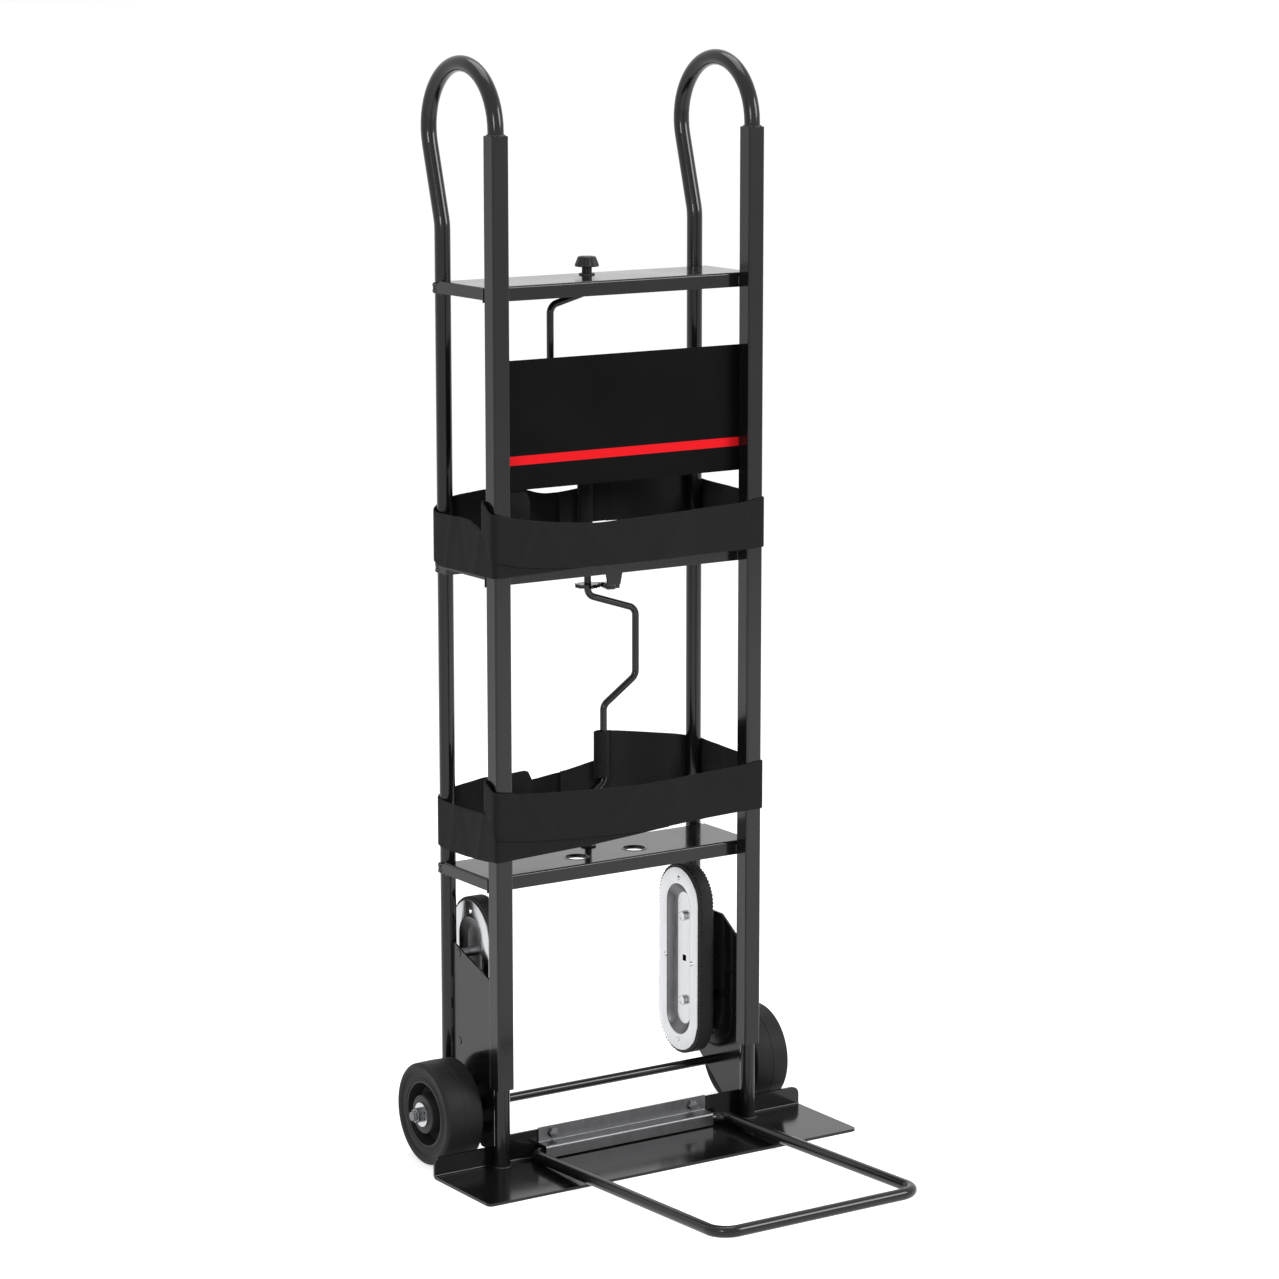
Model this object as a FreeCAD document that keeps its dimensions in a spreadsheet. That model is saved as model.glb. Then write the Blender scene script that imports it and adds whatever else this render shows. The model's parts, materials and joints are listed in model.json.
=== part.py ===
import FreeCAD, Part
import math
import os
import re
import Sketcher

# An appliance hand truck. X runs to the right, Y to the rear, Z up, in millimetres.
# The origin is on the floor, midway between the front rails and under their axes.

# The driving sizes: name, value, and what it measures.
SIZES = (
    ("overall_height", "1524", "floor to the top of the handle loops"),
    ("rail_spacing", "413", "between the axes of the front rails"),
    ("frame_depth", "140", "front rail axis to rear leg axis"),
    ("tube_diameter", "22", "round side tube, outside"),
    ("tube_wall", "1.5", "wall of the side tube"),
    ("rail_side", "25.4", "square front rail, outside"),
    ("rail_wall", "1.5", "wall of the front rail"),
    ("rail_corner", "3", "outside corner radius of the front rail"),
    ("rail_bottom", "116", "lower end of the front rail"),
    ("rail_top", "1421", "upper end of the front rail"),
    ("loop_radius", "87", "handle loop, to the tube axis"),
    ("kink_drop", "130", "loop centre down to the bend in the rear leg"),
    ("kink_radius", "60", "radius of that bend"),
    ("leg_bottom", "100", "lower end of the rear leg"),
    ("weld_gap", "0.2", "gap left at a welded or bolted seat"),
    ("toe_width", "614", "toe plate, side to side"),
    ("toe_front", "130", "rail axis to the front edge of the toe plate"),
    ("toe_sheet", "4", "thickness of the toe plate"),
    ("toe_bend", "2", "inside radius at the foot of the upstand"),
    ("toe_corner", "8", "radius of the front corners of the toe plate"),
    ("upstand_height", "42", "upstand between the rails"),
    ("upstand_end_height", "30", "upstand outside the rails"),
    ("upstand_corner", "11", "radius at the ends of the upstand"),
    ("shelf_sheet", "2", "thickness of the shelves"),
    ("shelf_flange", "20", "depth of the shelf flanges"),
    ("shelf_bend", "3", "outside bend radius of the shelves"),
    ("shelf_end_flange", "16.6", "depth of the flanges at the shelf ends"),
    ("middle_end_trim", "7", "taken off the middle shelf's end flanges, below"),
    ("lower_shelf_height", "412", "top face of the lower shelf"),
    ("middle_shelf_rise", "424", "lower shelf up to the middle shelf"),
    ("top_shelf_rise", "384", "middle shelf up to the top shelf"),
    ("shelf_hole_diameter", "34", "round holes in the lower shelf"),
    ("shelf_hole_spacing", "96", "between those holes"),
    ("shelf_hole_setback", "55", "rail axis to those holes"),
    ("ear_reach", "4.5", "shelf ear past the axis of the rear leg"),
    ("ear_lap", "12", "shelf ear along the shelf's end"),
    ("rivet_diameter", "4", "shank of the rivets"),
    ("rivet_head", "7.6", "head of the rivets"),
    ("rivet_rise", "2", "height of a rivet head"),
    ("rivet_spacing", "8", "between the two rivets of a shelf ear"),
    ("panel_drop", "100", "top shelf down to the header panel"),
    ("panel_height", "176", "height of the header panel"),
    ("panel_sheet", "2", "thickness of the header panel"),
    ("panel_corner", "4", "corner radius of the header panel"),
    ("panel_screw_inset", "18", "screws from the panel's top and bottom edge"),
    ("panel_inset", "6", "panel's ends from the outer faces of the rails"),
    ("side_sheet", "3", "thickness of the side plates"),
    ("side_bottom", "20", "lower edge of the side plate"),
    ("side_foot", "53", "rail axis to the lower corner of the side plate"),
    ("side_rear_bottom", "81", "lower end of the side plate at the rear leg"),
    ("side_front_top", "258", "top of the side plate at the front rail"),
    ("side_rear_top", "328", "top of the side plate at the rear leg"),
    ("side_corner", "12", "radius of the side plate's upper rear corner"),
    ("wheel_diameter", "144", "wheel, over the tread"),
    ("wheel_width", "54", "width of the tyre"),
    ("wheel_reach", "285", "middle of the truck to the outer side of the tyre"),
    ("axle_setback", "80", "rail axis to wheel axle"),
    ("axle_diameter", "12.7", "wheel axle"),
    ("axle_reach", "304", "middle of the truck to the end of the axle"),
    ("tyre_bore", "94", "inside of the tyre"),
    ("tyre_shoulder", "4", "rounding of the tread edges"),
    ("hub_length", "58", "hub, end to end"),
    ("hub_rim", "6", "thickness of the hub's rim at the web"),
    ("hub_rim_edge", "3", "thickness of the hub's rim at its edges"),
    ("hub_web", "10", "thickness of the hub's web"),
    ("hub_boss", "54", "boss of the hub at the web"),
    ("hub_boss_tip", "44", "boss of the hub at its ends"),
    ("hub_bush", "18", "outside of the bush in the hub"),
    ("spacer_diameter", "20", "tube spacers on the axle"),
    ("washer_diameter", "34", "axle washers"),
    ("washer_sheet", "2.2", "thickness of the axle washers"),
    ("axle_nut_flats", "19", "axle nut, across flats"),
    ("axle_nut_height", "10", "height of the axle nut"),
    ("running_fit", "0.08", "gap all round a turning shaft"),
    ("close_fit", "0.1", "gap all round a bolt or a fixed bush"),
    ("seat_gap", "0.3", "gap at the side of a moving piece"),
    ("nose_rod", "16", "rod of the folding nose loop"),
    ("nose_reach", "461.5", "hinge axis to the front bar of the nose loop"),
    ("nose_spacing", "323", "between the arms of the nose loop"),
    ("nose_shift", "5", "nose loop slid to the right in its bracket"),
    ("nose_tilt", "2", "degrees, nose loop above the level"),
    ("nose_bend", "28", "front bends of the nose loop, to the rod axis"),
    ("nose_rear_bend", "20", "rear bends of the nose loop, to the rod axis"),
    ("nose_joint", "2", "gap between the ends of the loop, in the bracket"),
    ("nose_slack", "1.2", "play of the rod in its bracket"),
    ("hinge_length", "281", "nose hinge bracket, end to end"),
    ("hinge_sheet", "2.3", "thickness of the bracket"),
    ("hinge_bend", "1.2", "inside bend radius of the bracket"),
    ("hinge_top", "45", "upper edge of the bracket"),
    ("hinge_lip", "6", "floor to the bracket's front lip"),
    ("hinge_bolt_spacing", "234", "between the bracket's bolts"),
    ("hinge_bolt_height", "35", "height of the bracket's bolts"),
    ("hinge_bolt", "8", "shank of the bracket's bolts"),
    ("hinge_bolt_flats", "13", "bolt head and nut, across flats"),
    ("hinge_bolt_head", "5", "height of that head"),
    ("hinge_nut_height", "6.5", "height of that nut"),
    ("winder_setback", "100", "rail axis to winder axis"),
    ("winder_rod", "10", "rod of the winder"),
    ("winder_bend", "14", "bend radius of the winder, to the rod axis"),
    ("winder_tail", "6", "winder below its clip"),
    ("upper_throw", "60", "upper crank, out from the axis"),
    ("lower_throw", "80", "lower crank, out from the axis"),
    ("strap_step", "26", "offset of the rod where the lower strap ends"),
    ("bush_diameter", "16", "winder bush in a shelf"),
    ("bush_length", "8", "winder bush below the shelf's top"),
    ("bush_flange", "22", "flange of the bush"),
    ("bush_flange_rise", "2", "thickness of that flange"),
    ("knob_stem", "14", "stem of the knob"),
    ("knob_stem_height", "9", "height of the stem"),
    ("knob_base", "34", "cap of the knob, widest"),
    ("knob_top", "24.5", "cap of the knob, at its top"),
    ("knob_cap_height", "14", "height of the cap"),
    ("knob_socket", "17", "depth of the hole for the rod"),
    ("clip_diameter", "18", "clip at the foot of the winder"),
    ("clip_sheet", "2", "thickness of the clip"),
    ("ratchet_diameter", "36", "ratchet wheel over its teeth"),
    ("ratchet_root", "28", "ratchet wheel at the roots"),
    ("ratchet_sheet", "5", "thickness of the ratchet wheel and pawl"),
    ("ratchet_drop", "52.5", "middle shelf down to the underside of the ratchet wheel"),
    ("pawl_pivot_side", "21", "winder axis to pawl pivot, sideways"),
    ("pawl_pivot_front", "26", "winder axis to pawl pivot, forwards"),
    ("pawl_eye", "16", "eye of the pawl"),
    ("pawl_tail", "13", "finger tail of the pawl, past its pivot"),
    ("pawl_tail_width", "8", "finger tail of the pawl, across"),
    ("pivot_diameter", "6", "pawl pivot"),
    ("pivot_head", "11", "head of the pawl pivot"),
    ("pivot_rise", "3.5", "height of that head"),
    ("pivot_end", "1.8", "height of the pivot's riveted end"),
    ("bracket_sheet", "2.5", "thickness of the pawl bracket"),
    ("bracket_top", "38", "width of the pawl bracket at the shelf"),
    ("bracket_foot", "20", "width of the pawl bracket at its foot"),
    ("bracket_flange", "20", "flange of the pawl bracket under the shelf"),
    ("bracket_rivet_spacing", "20", "between the rivets of the pawl bracket"),
    ("bracket_clear", "1.2", "pawl bracket above the pawl"),
    ("strap_width", "65", "webbing"),
    ("strap_sheet", "2.5", "thickness of the webbing"),
    ("strap_reach", "38", "winder axis to the ends of the straps' runs"),
    ("strap_sleeve", "17", "sewn end loop round the rod"),
    ("upper_front_rise", "35", "middle shelf up to the upper strap's middle, across the front"),
    ("upper_rear_rise", "50", "the same, at the rear legs"),
    ("upper_end_rise", "61", "the same, at the winder"),
    ("lower_front_rise", "78", "lower shelf up to the lower strap's middle, across the front"),
    ("lower_rear_rise", "88", "the same, at the rear legs"),
    ("lower_end_rise", "131", "the same, at the winder"),
    ("climber_clear", "35.5", "lower shelf's flange down to the stair climber's plates"),
    ("climber_width", "97", "plates of the stair climber"),
    ("climber_sheet", "2", "thickness of those plates"),
    ("climber_rise", "13.5", "wheel axle up to the stair climber's plates"),
    ("climber_setback", "111", "rail axis to the stair climber's middle"),
    ("climber_standoff", "16", "side plate to the stair climber"),
    ("dish_width", "39", "pressed dish of the plates"),
    ("dish_margin", "23", "pressed dish from the plates' ends"),
    ("dish_depth", "8", "pressed dish of the plates, outside"),
    ("square_hole", "9", "square hole in the dish"),
    ("belt_width", "24", "rubber belt"),
    ("belt_sheet", "8", "thickness of the belt"),
    ("belt_stand", "5", "belt past the plates' edges"),
    ("track_sheet", "2.5", "thickness of the track that the belt slides on"),
    ("climber_bolt_spacing", "126", "between the stair climber's bolts"),
    ("climber_bolt", "8", "shank of those bolts"),
    ("climber_bolt_flats", "13", "bolt head and nut, across flats"),
    ("climber_bolt_head", "5", "height of that head"),
    ("climber_nut_height", "6.5", "height of that nut"),
    ("climber_spacer", "14", "tube spacers on those bolts"),
    ("climber_rivet_inset", "15", "rivets from the edge of the plates"),
    ("overrun", "5", "how far a cutting tool runs past a face"),
    ("ratchet_teeth", "12", "count of teeth"),
)

# Places and sizes that follow from the driving ones.
PLACES = (
    ("rail_x", "rail_spacing / 2"),
    ("rail_half", "rail_side / 2"),
    ("rail_bore", "rail_side / 2 - rail_wall"),
    ("tube_radius", "tube_diameter / 2"),
    ("tube_bore", "tube_diameter / 2 - tube_wall"),
    ("loop_height", "overall_height - tube_diameter / 2 - loop_radius"),
    ("kink_height", "overall_height - tube_diameter / 2 - loop_radius - kink_drop"),
    ("middle_shelf_height", "lower_shelf_height + middle_shelf_rise"),
    ("top_shelf_height", "lower_shelf_height + middle_shelf_rise + top_shelf_rise"),
    ("panel_top", "lower_shelf_height + middle_shelf_rise + top_shelf_rise - panel_drop"),
    ("panel_bottom", "lower_shelf_height + middle_shelf_rise + top_shelf_rise - panel_drop - panel_height"),
    ("side_notch", "upstand_height + weld_gap"),
    ("side_front", "tube_diameter / 2 + weld_gap + toe_bend + toe_sheet + weld_gap"),
    ("upstand_front", "tube_diameter / 2 + weld_gap + toe_bend"),
    ("upstand_back", "tube_diameter / 2 + weld_gap + toe_bend + toe_sheet"),
    ("shelf_front", "rail_side / 2 + weld_gap"),
    ("shelf_back", "frame_depth - tube_diameter / 2 - weld_gap"),
    ("ear_inner", "rail_spacing / 2 + tube_diameter / 2 + weld_gap"),
    ("shelf_end", "rail_spacing / 2 + tube_diameter / 2 + weld_gap + shelf_sheet"),
    ("panel_half", "rail_spacing / 2 + rail_side / 2 - panel_inset"),
    ("side_inner", "rail_spacing / 2 - side_sheet / 2"),
    ("side_outer", "rail_spacing / 2 + side_sheet / 2"),
    ("axle_height", "wheel_diameter / 2"),
    ("axle_radius", "axle_diameter / 2"),
    ("wheel_plane", "wheel_reach - wheel_width / 2"),
    ("hub_inner", "wheel_reach - wheel_width / 2 - hub_length / 2"),
    ("hub_outer", "wheel_reach - wheel_width / 2 + hub_length / 2"),
    ("nose_axis", "tube_diameter / 2 + weld_gap + toe_bend - hinge_sheet - nose_slack - nose_rod / 2"),
    ("nose_height", "toe_sheet + seat_gap + nose_rod / 2"),
    ("hinge_roof", "toe_sheet + seat_gap + nose_rod + nose_slack"),
    ("hinge_inside", "tube_diameter / 2 + weld_gap + toe_bend - hinge_sheet - nose_rod - 2 * nose_slack"),
    ("winder_radius", "winder_rod / 2"),
    ("winder_head",
     "lower_shelf_height + middle_shelf_rise + top_shelf_rise + bush_flange_rise + knob_socket"),
    ("clip_height", "lower_shelf_height - bush_length - seat_gap - clip_sheet"),
    ("winder_foot", "lower_shelf_height - bush_length - seat_gap - clip_sheet - winder_tail"),
    ("ratchet_height", "lower_shelf_height + middle_shelf_rise - ratchet_drop"),
    ("pivot_y", "winder_setback - pawl_pivot_front"),
    ("bracket_floor",
     "lower_shelf_height + middle_shelf_rise - ratchet_drop + ratchet_sheet + bracket_clear"),
    ("bracket_back", "winder_setback - pawl_pivot_front - pawl_eye / 2"),
    ("bracket_front", "winder_setback - pawl_pivot_front - pawl_eye / 2 - bracket_sheet"),
    ("bracket_ceiling", "lower_shelf_height + middle_shelf_rise - shelf_sheet - weld_gap"),
    ("upper_strap_front", "lower_shelf_height + middle_shelf_rise + upper_front_rise"),
    ("upper_strap_rear", "lower_shelf_height + middle_shelf_rise + upper_rear_rise"),
    ("upper_strap_end", "lower_shelf_height + middle_shelf_rise + upper_end_rise"),
    ("lower_strap_front", "lower_shelf_height + lower_front_rise"),
    ("lower_strap_rear", "lower_shelf_height + lower_rear_rise"),
    ("lower_strap_end", "lower_shelf_height + lower_end_rise"),
    ("climber_outer", "rail_spacing / 2 - side_sheet / 2 - climber_standoff"),
    ("climber_inner",
     "rail_spacing / 2 - side_sheet / 2 - climber_standoff - 2 * climber_sheet - belt_width"),
    ("climber_height",
     "lower_shelf_height - shelf_flange - climber_clear - (wheel_diameter / 2 + climber_rise)"),
    ("climber_centre",
     "(lower_shelf_height - shelf_flange - climber_clear + wheel_diameter / 2 + climber_rise) / 2"),
    ("dish_height",
     "lower_shelf_height - shelf_flange - climber_clear - (wheel_diameter / 2 + climber_rise)"
     " - 2 * dish_margin"),
)

# Bends of the winder: offset from its axis, and depth as a share of the gap between two shelves.
UPPER_CRANK_SHARES = (("0", 0.062), ("-upper_throw", 0.103), ("-upper_throw", 0.352), ("0", 0.456))
LOWER_CRANK_SHARES = (("0", 0.151), ("lower_throw", 0.212), ("lower_throw", 0.439), ("strap_step", 0.528),
                      ("strap_step", 0.783), ("0", 0.835))
# Flat top of a rivet's dome, and how far a strap has dropped at the back of a rail.
DOME_SHARE = 0.6
STRAP_DROP_SHARE = 0.25
# Where the pawl's nose lies on the slope of a tooth, from root to tip.
TOOTH_SLOPE_SHARE = 0.6
# Angles of the corners of the pawl's nose about the winder, in degrees from the right-hand side.
NOSE_TIP_ANGLE = 12
NOSE_SLOPE_ANGLE = -1
NOSE_HOLLOW_ANGLES = (-10, -30)
NOSE_BACK_ANGLE = 13
# Steps of a strap round a rear leg and round the corner of a rail.
LEG_STEPS = 4
CORNER_STEPS = 3

doc = FreeCAD.newDocument("HandTruck")
sizes = doc.addObject("Spreadsheet::Sheet", "Sizes")
for row, (name, number, note) in enumerate(SIZES, start=1):
    sizes.set(f"A{row}", name)
    sizes.set(f"B{row}", number)
    sizes.set(f"C{row}", note)
    sizes.setAlias(f"B{row}", name)
doc.recompute()

SHEET_OF = {name: "Sizes" for name, number, note in SIZES}
WORD = re.compile(r"\b[a-z][a-z_0-9]*\b")


def formula(text):
    """The formula with each name's sheet in front of the name."""
    return WORD.sub(lambda word: f"{SHEET_OF[word[0]]}.{word[0]}" if word[0] in SHEET_OF else word[0], text)


places = doc.addObject("Spreadsheet::Sheet", "Places")
for row, (name, text) in enumerate(PLACES, start=1):
    places.set(f"A{row}", name)
    places.set(f"B{row}", "=" + formula(text))
    places.setAlias(f"B{row}", name)
SHEET_OF.update({name: "Places" for name, text in PLACES})
doc.recompute()

V = FreeCAD.Vector
UPRIGHT = FreeCAD.Rotation()
TO_RIGHT = FreeCAD.Rotation(V(0, 1, 0), 90)
TO_REAR = FreeCAD.Rotation(V(1, 0, 0), -90)
TO_FRONT = FreeCAD.Rotation(V(1, 0, 0), 90)
UPSIDE_DOWN = FreeCAD.Rotation(V(1, 0, 0), 180)


def value(text):
    """The number that a formula gives."""
    found = places.evalExpression(formula(text))
    return float(getattr(found, "Value", found))


def bind(piece, formulas):
    """Ties an object's properties to the sheets."""
    for name, text in formulas.items():
        piece.setExpression(name, formula(text))


def place(piece, x, y, z, turn=UPRIGHT):
    """Turns a piece and ties its position to the sheets."""
    piece.Placement = FreeCAD.Placement(V(0, 0, 0), turn)
    bind(piece, {"Placement.Base.x": x, "Placement.Base.y": y, "Placement.Base.z": z})
    return piece


def new_body(label):
    """An empty body with its label."""
    made = doc.addObject("PartDesign::Body", label)
    made.Label = label
    return made


def new_sketch(owner, plane, offset="0"):
    """A sketch on one of its body's own planes, moved along that plane's normal."""
    drawn = owner.newObject("Sketcher::SketchObject", owner.Name + "_sketch")
    support = next(item for item in owner.Origin.OriginFeatures if item.Role == plane)
    drawn.AttachmentSupport = [(support, "")]
    drawn.MapMode = "FlatFace"
    bind(drawn, {"AttachmentOffset.Base.z": offset})
    return drawn


def tie(drawn, kind, items, number, text):
    """Adds a dimension to a sketch and ties it to the sheets."""
    index = drawn.addConstraint(Sketcher.Constraint(kind, *items, number))
    drawn.setExpression(f"Constraints[{index}]", formula(text))


def fix(drawn, geometry, point, x, y):
    """Places one point of a sketch by its two coordinates."""
    tie(drawn, "DistanceX", (-1, 1, geometry, point), value(x), x)
    tie(drawn, "DistanceY", (-1, 1, geometry, point), value(y), y)


def rounding(before, corner, after, radius):
    """Tangent points and arc of a rounded corner, and whether it turns left."""
    back = (before - corner).normalize()
    ahead = (after - corner).normalize()
    half = back.getAngle(ahead) / 2
    start = corner + back * (radius / math.tan(half))
    end = corner + ahead * (radius / math.tan(half))
    centre = corner + (back + ahead).normalize() * (radius / math.sin(half))
    left = (back.cross(ahead)).z < 0
    first, last = (start, end) if left else (end, start)
    angles = [math.atan2(point.y - centre.y, point.x - centre.x) for point in (first, last)]
    arc = Part.ArcOfCircle(Part.Circle(centre, V(0, 0, 1), radius), *angles)
    return start, end, arc, left


def outline(drawn, corners, closed=True):
    """Straight runs through corners given as (x, y) or, rounded, as (x, y, radius).

    Every corner is placed by its coordinates; a rounded one is a point that both of its runs aim at.
    """
    count = len(corners)
    points = [V(value(corner[0]), value(corner[1]), 0) for corner in corners]
    starts, ends, arcs = list(points), list(points), {}
    for index, corner in enumerate(corners):
        if len(corner) > 2:
            before, after = points[index - 1], points[(index + 1) % count]
            made = rounding(before, points[index], after, value(corner[2]))
            ends[index], starts[index] = made[0], made[1]
            arcs[index] = (drawn.addGeometry(made[2], False), made[3])
    runs = count if closed else count - 1
    lines = [drawn.addGeometry(Part.LineSegment(starts[i], ends[(i + 1) % count]), False)
             for i in range(runs)]
    for index, corner in enumerate(corners):
        first, last = index == 0 and not closed, index == count - 1 and not closed
        if index in arcs:
            arc, left = arcs[index]
            incoming, outgoing = lines[index - 1], lines[index]
            drawn.addConstraint(Sketcher.Constraint("Tangent", incoming, 2, arc, 1 if left else 2))
            drawn.addConstraint(Sketcher.Constraint("Tangent", arc, 2 if left else 1, outgoing, 1))
            tie(drawn, "Radius", (arc,), value(corner[2]), corner[2])
            mark = drawn.addGeometry(Part.Point(points[index]), True)
            fix(drawn, mark, 1, corner[0], corner[1])
            drawn.addConstraint(Sketcher.Constraint("PointOnObject", mark, 1, incoming))
            drawn.addConstraint(Sketcher.Constraint("PointOnObject", mark, 1, outgoing))
            continue
        if not first and not last:
            drawn.addConstraint(Sketcher.Constraint("Coincident", lines[index - 1], 2, lines[index], 1))
        if last:
            fix(drawn, lines[-1], 2, corner[0], corner[1])
        else:
            fix(drawn, lines[index], 1, corner[0], corner[1])
    return len(lines) + len(arcs)


def circle(drawn, x, y, radius):
    """A circle placed by its centre and radius."""
    made = drawn.addGeometry(Part.Circle(V(value(x), value(y), 0), V(0, 0, 1), value(radius)), False)
    fix(drawn, made, 3, x, y)
    tie(drawn, "Radius", (made,), value(radius), radius)


def obround(drawn, x, y, width, height):
    """An upright slot shape: two half circles joined by straight sides."""
    radius, rise = value(width) / 2, (value(height) - value(width)) / 2
    middle, upward = V(value(x), value(y), 0), V(0, rise, 0)
    side = V(radius, 0, 0)
    upper = drawn.addGeometry(
        Part.ArcOfCircle(Part.Circle(middle + upward, V(0, 0, 1), radius), 0, math.pi), False)
    lower = drawn.addGeometry(
        Part.ArcOfCircle(Part.Circle(middle - upward, V(0, 0, 1), radius), math.pi, 2 * math.pi), False)
    left = drawn.addGeometry(Part.LineSegment(middle + upward - side, middle - upward - side), False)
    right = drawn.addGeometry(Part.LineSegment(middle - upward + side, middle + upward + side), False)
    for first, last in ((upper, left), (left, lower), (lower, right), (right, upper)):
        drawn.addConstraint(Sketcher.Constraint("Tangent", first, 2, last, 1))
    for arc, sign in ((upper, "+"), (lower, "-")):
        fix(drawn, arc, 3, x, f"{y} {sign} ({height} - {width}) / 2")
        tie(drawn, "Radius", (arc,), radius, f"{width} / 2")


def pad(owner, drawn, length):
    """A straight extrusion along the sketch's normal."""
    made = owner.newObject("PartDesign::Pad", owner.Name + "_pad")
    made.Profile = drawn
    bind(made, {"Length": length})
    return made


def plate(label, plane, offset, corners, thickness, holes=()):
    """A flat piece with its outline and round holes (x, y, radius)."""
    owner = new_body(label)
    drawn = new_sketch(owner, plane, offset)
    outline(drawn, corners)
    for hole in holes:
        circle(drawn, *hole)
    pad(owner, drawn, thickness)
    return owner


def turned(label, corners, x, y, z, turn=UPRIGHT):
    """A lathe piece: a profile of (radius, along) corners turned about its own axis."""
    owner = new_body(label)
    drawn = new_sketch(owner, "XZ_Plane")
    outline(drawn, corners)
    made = owner.newObject("PartDesign::Revolution", label + "_turn")
    made.Profile = drawn
    made.ReferenceAxis = (drawn, ["V_Axis"])
    made.Angle = 360
    return place(owner, x, y, z, turn)


def ring(label, bore, outside, length, x, y, z, turn=UPRIGHT):
    """A plain ring or tube."""
    return turned(label, ((bore, "0"), (outside, "0"), (outside, length), (bore, length)), x, y, z, turn)


def hexagon(flats):
    """The six corners of a hexagon, from its width across flats."""
    corner = f"{flats} / sqrt(3)"
    return [(f"{corner} * cos({60 * k} deg)", f"{corner} * sin({60 * k} deg)") for k in range(6)]


def bolt(label, flats, head, shank, length, x, y, z, turn):
    """A hexagon bolt: its head ends at the given place, and its shank runs on along the turned axis."""
    owner = new_body(label)
    top = new_sketch(owner, "XY_Plane", f"-({head})")
    outline(top, hexagon(flats))
    pad(owner, top, head)
    stem = new_sketch(owner, "XY_Plane")
    circle(stem, "0", "0", f"{shank} / 2")
    pad(owner, stem, length)
    return place(owner, x, y, z, turn)


def nut(label, flats, height, bore, x, y, z, turn):
    """A hexagon nut that starts at the given place."""
    owner = new_body(label)
    drawn = new_sketch(owner, "XY_Plane")
    outline(drawn, hexagon(flats))
    circle(drawn, "0", "0", bore)
    pad(owner, drawn, height)
    return place(owner, x, y, z, turn)


def rivet(label, length, x, y, z, turn, closed=False):
    """A rivet with a domed head; a closed one has a head at both ends."""
    shank, head, rise = "rivet_diameter / 2", "rivet_head / 2", "rivet_rise"
    corners = [("0", f"-{rise}"), (f"{head} * {DOME_SHARE}", f"-{rise}"), (head, "0"), (shank, "0")]
    if closed:
        corners += [(shank, length), (head, length), (f"{head} * {DOME_SHARE}", f"{length} + {rise}"),
                    ("0", f"{length} + {rise}")]
    else:
        corners += [(shank, length), ("0", length)]
    return turned(label, corners, x, y, z, turn)


def bent(label, plane, offset, corners, start_plane, start_offset, centre, radius, bore=None):
    """A rod or tube bent along a flat path, from a profile on the plane where the path starts."""
    owner = new_body(label)
    path = new_sketch(owner, plane, offset)
    edges = outline(path, corners, closed=False)
    profile = new_sketch(owner, start_plane, start_offset)
    circle(profile, *centre, radius)
    if bore:
        circle(profile, *centre, bore)
    doc.recompute()
    made = owner.newObject("PartDesign::AdditivePipe", label + "_pipe")
    made.Profile = profile
    made.Spine = (path, [f"Edge{index + 1}" for index in range(edges)])
    return owner


def box(label, x, y, z, length, width, height):
    """A block from its lowest corner."""
    made = doc.addObject("Part::Box", label)
    bind(made, {"Length": length, "Width": width, "Height": height})
    return place(made, x, y, z)


def drill(label, radius, length, x, y, z, turn=UPRIGHT):
    """A round cutting tool that starts at the given place."""
    made = doc.addObject("Part::Cylinder", label)
    bind(made, {"Radius": radius, "Height": length})
    return place(made, x, y, z, turn)


def cut(label, base, tools):
    """The base less its tools."""
    made = doc.addObject("Part::Cut", label)
    made.Label = label
    made.Base = base
    made.Tool = tools[0] if len(tools) == 1 else group(label + "_tools", tools)
    return made


def fuse(label, pieces):
    """One solid of several that meet."""
    made = doc.addObject("Part::MultiFuse", label)
    made.Label = label
    made.Shapes = pieces
    made.Refine = True
    return made


def group(label, pieces):
    """Like pieces that share one node, as separate solids."""
    made = doc.addObject("Part::Compound", label)
    made.Label = label
    made.Links = pieces
    return made


def mirrored(label, source):
    """The same piece on the other side of the truck."""
    made = doc.addObject("Part::Mirroring", label)
    made.Label = label
    made.Source = source
    made.Normal = V(1, 0, 0)
    return made


def pair(name, source):
    """A right-hand piece and its left-hand twin, as two nodes."""
    source.Label = name + "_right"
    return [source, mirrored(name + "_left", source)]


def both_sides(label, sources):
    """Right-hand pieces and their twins, in one node."""
    twins = [mirrored(f"{label}_twin_{index}", one) for index, one in enumerate(sources)]
    return group(label, sources + twins)


def edges_where(shape, test):
    """Names of a shape's edges whose two ends pass a test."""
    return [f"Edge{index}" for index, edge in enumerate(shape.Edges, start=1)
            if len(edge.Vertexes) == 2 and all(test(vertex.Point) for vertex in edge.Vertexes)]


def near(first, second):
    """Whether two coordinates are the same, apart from rounding."""
    return math.isclose(first, second, abs_tol=value("weld_gap") / 2)


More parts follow.
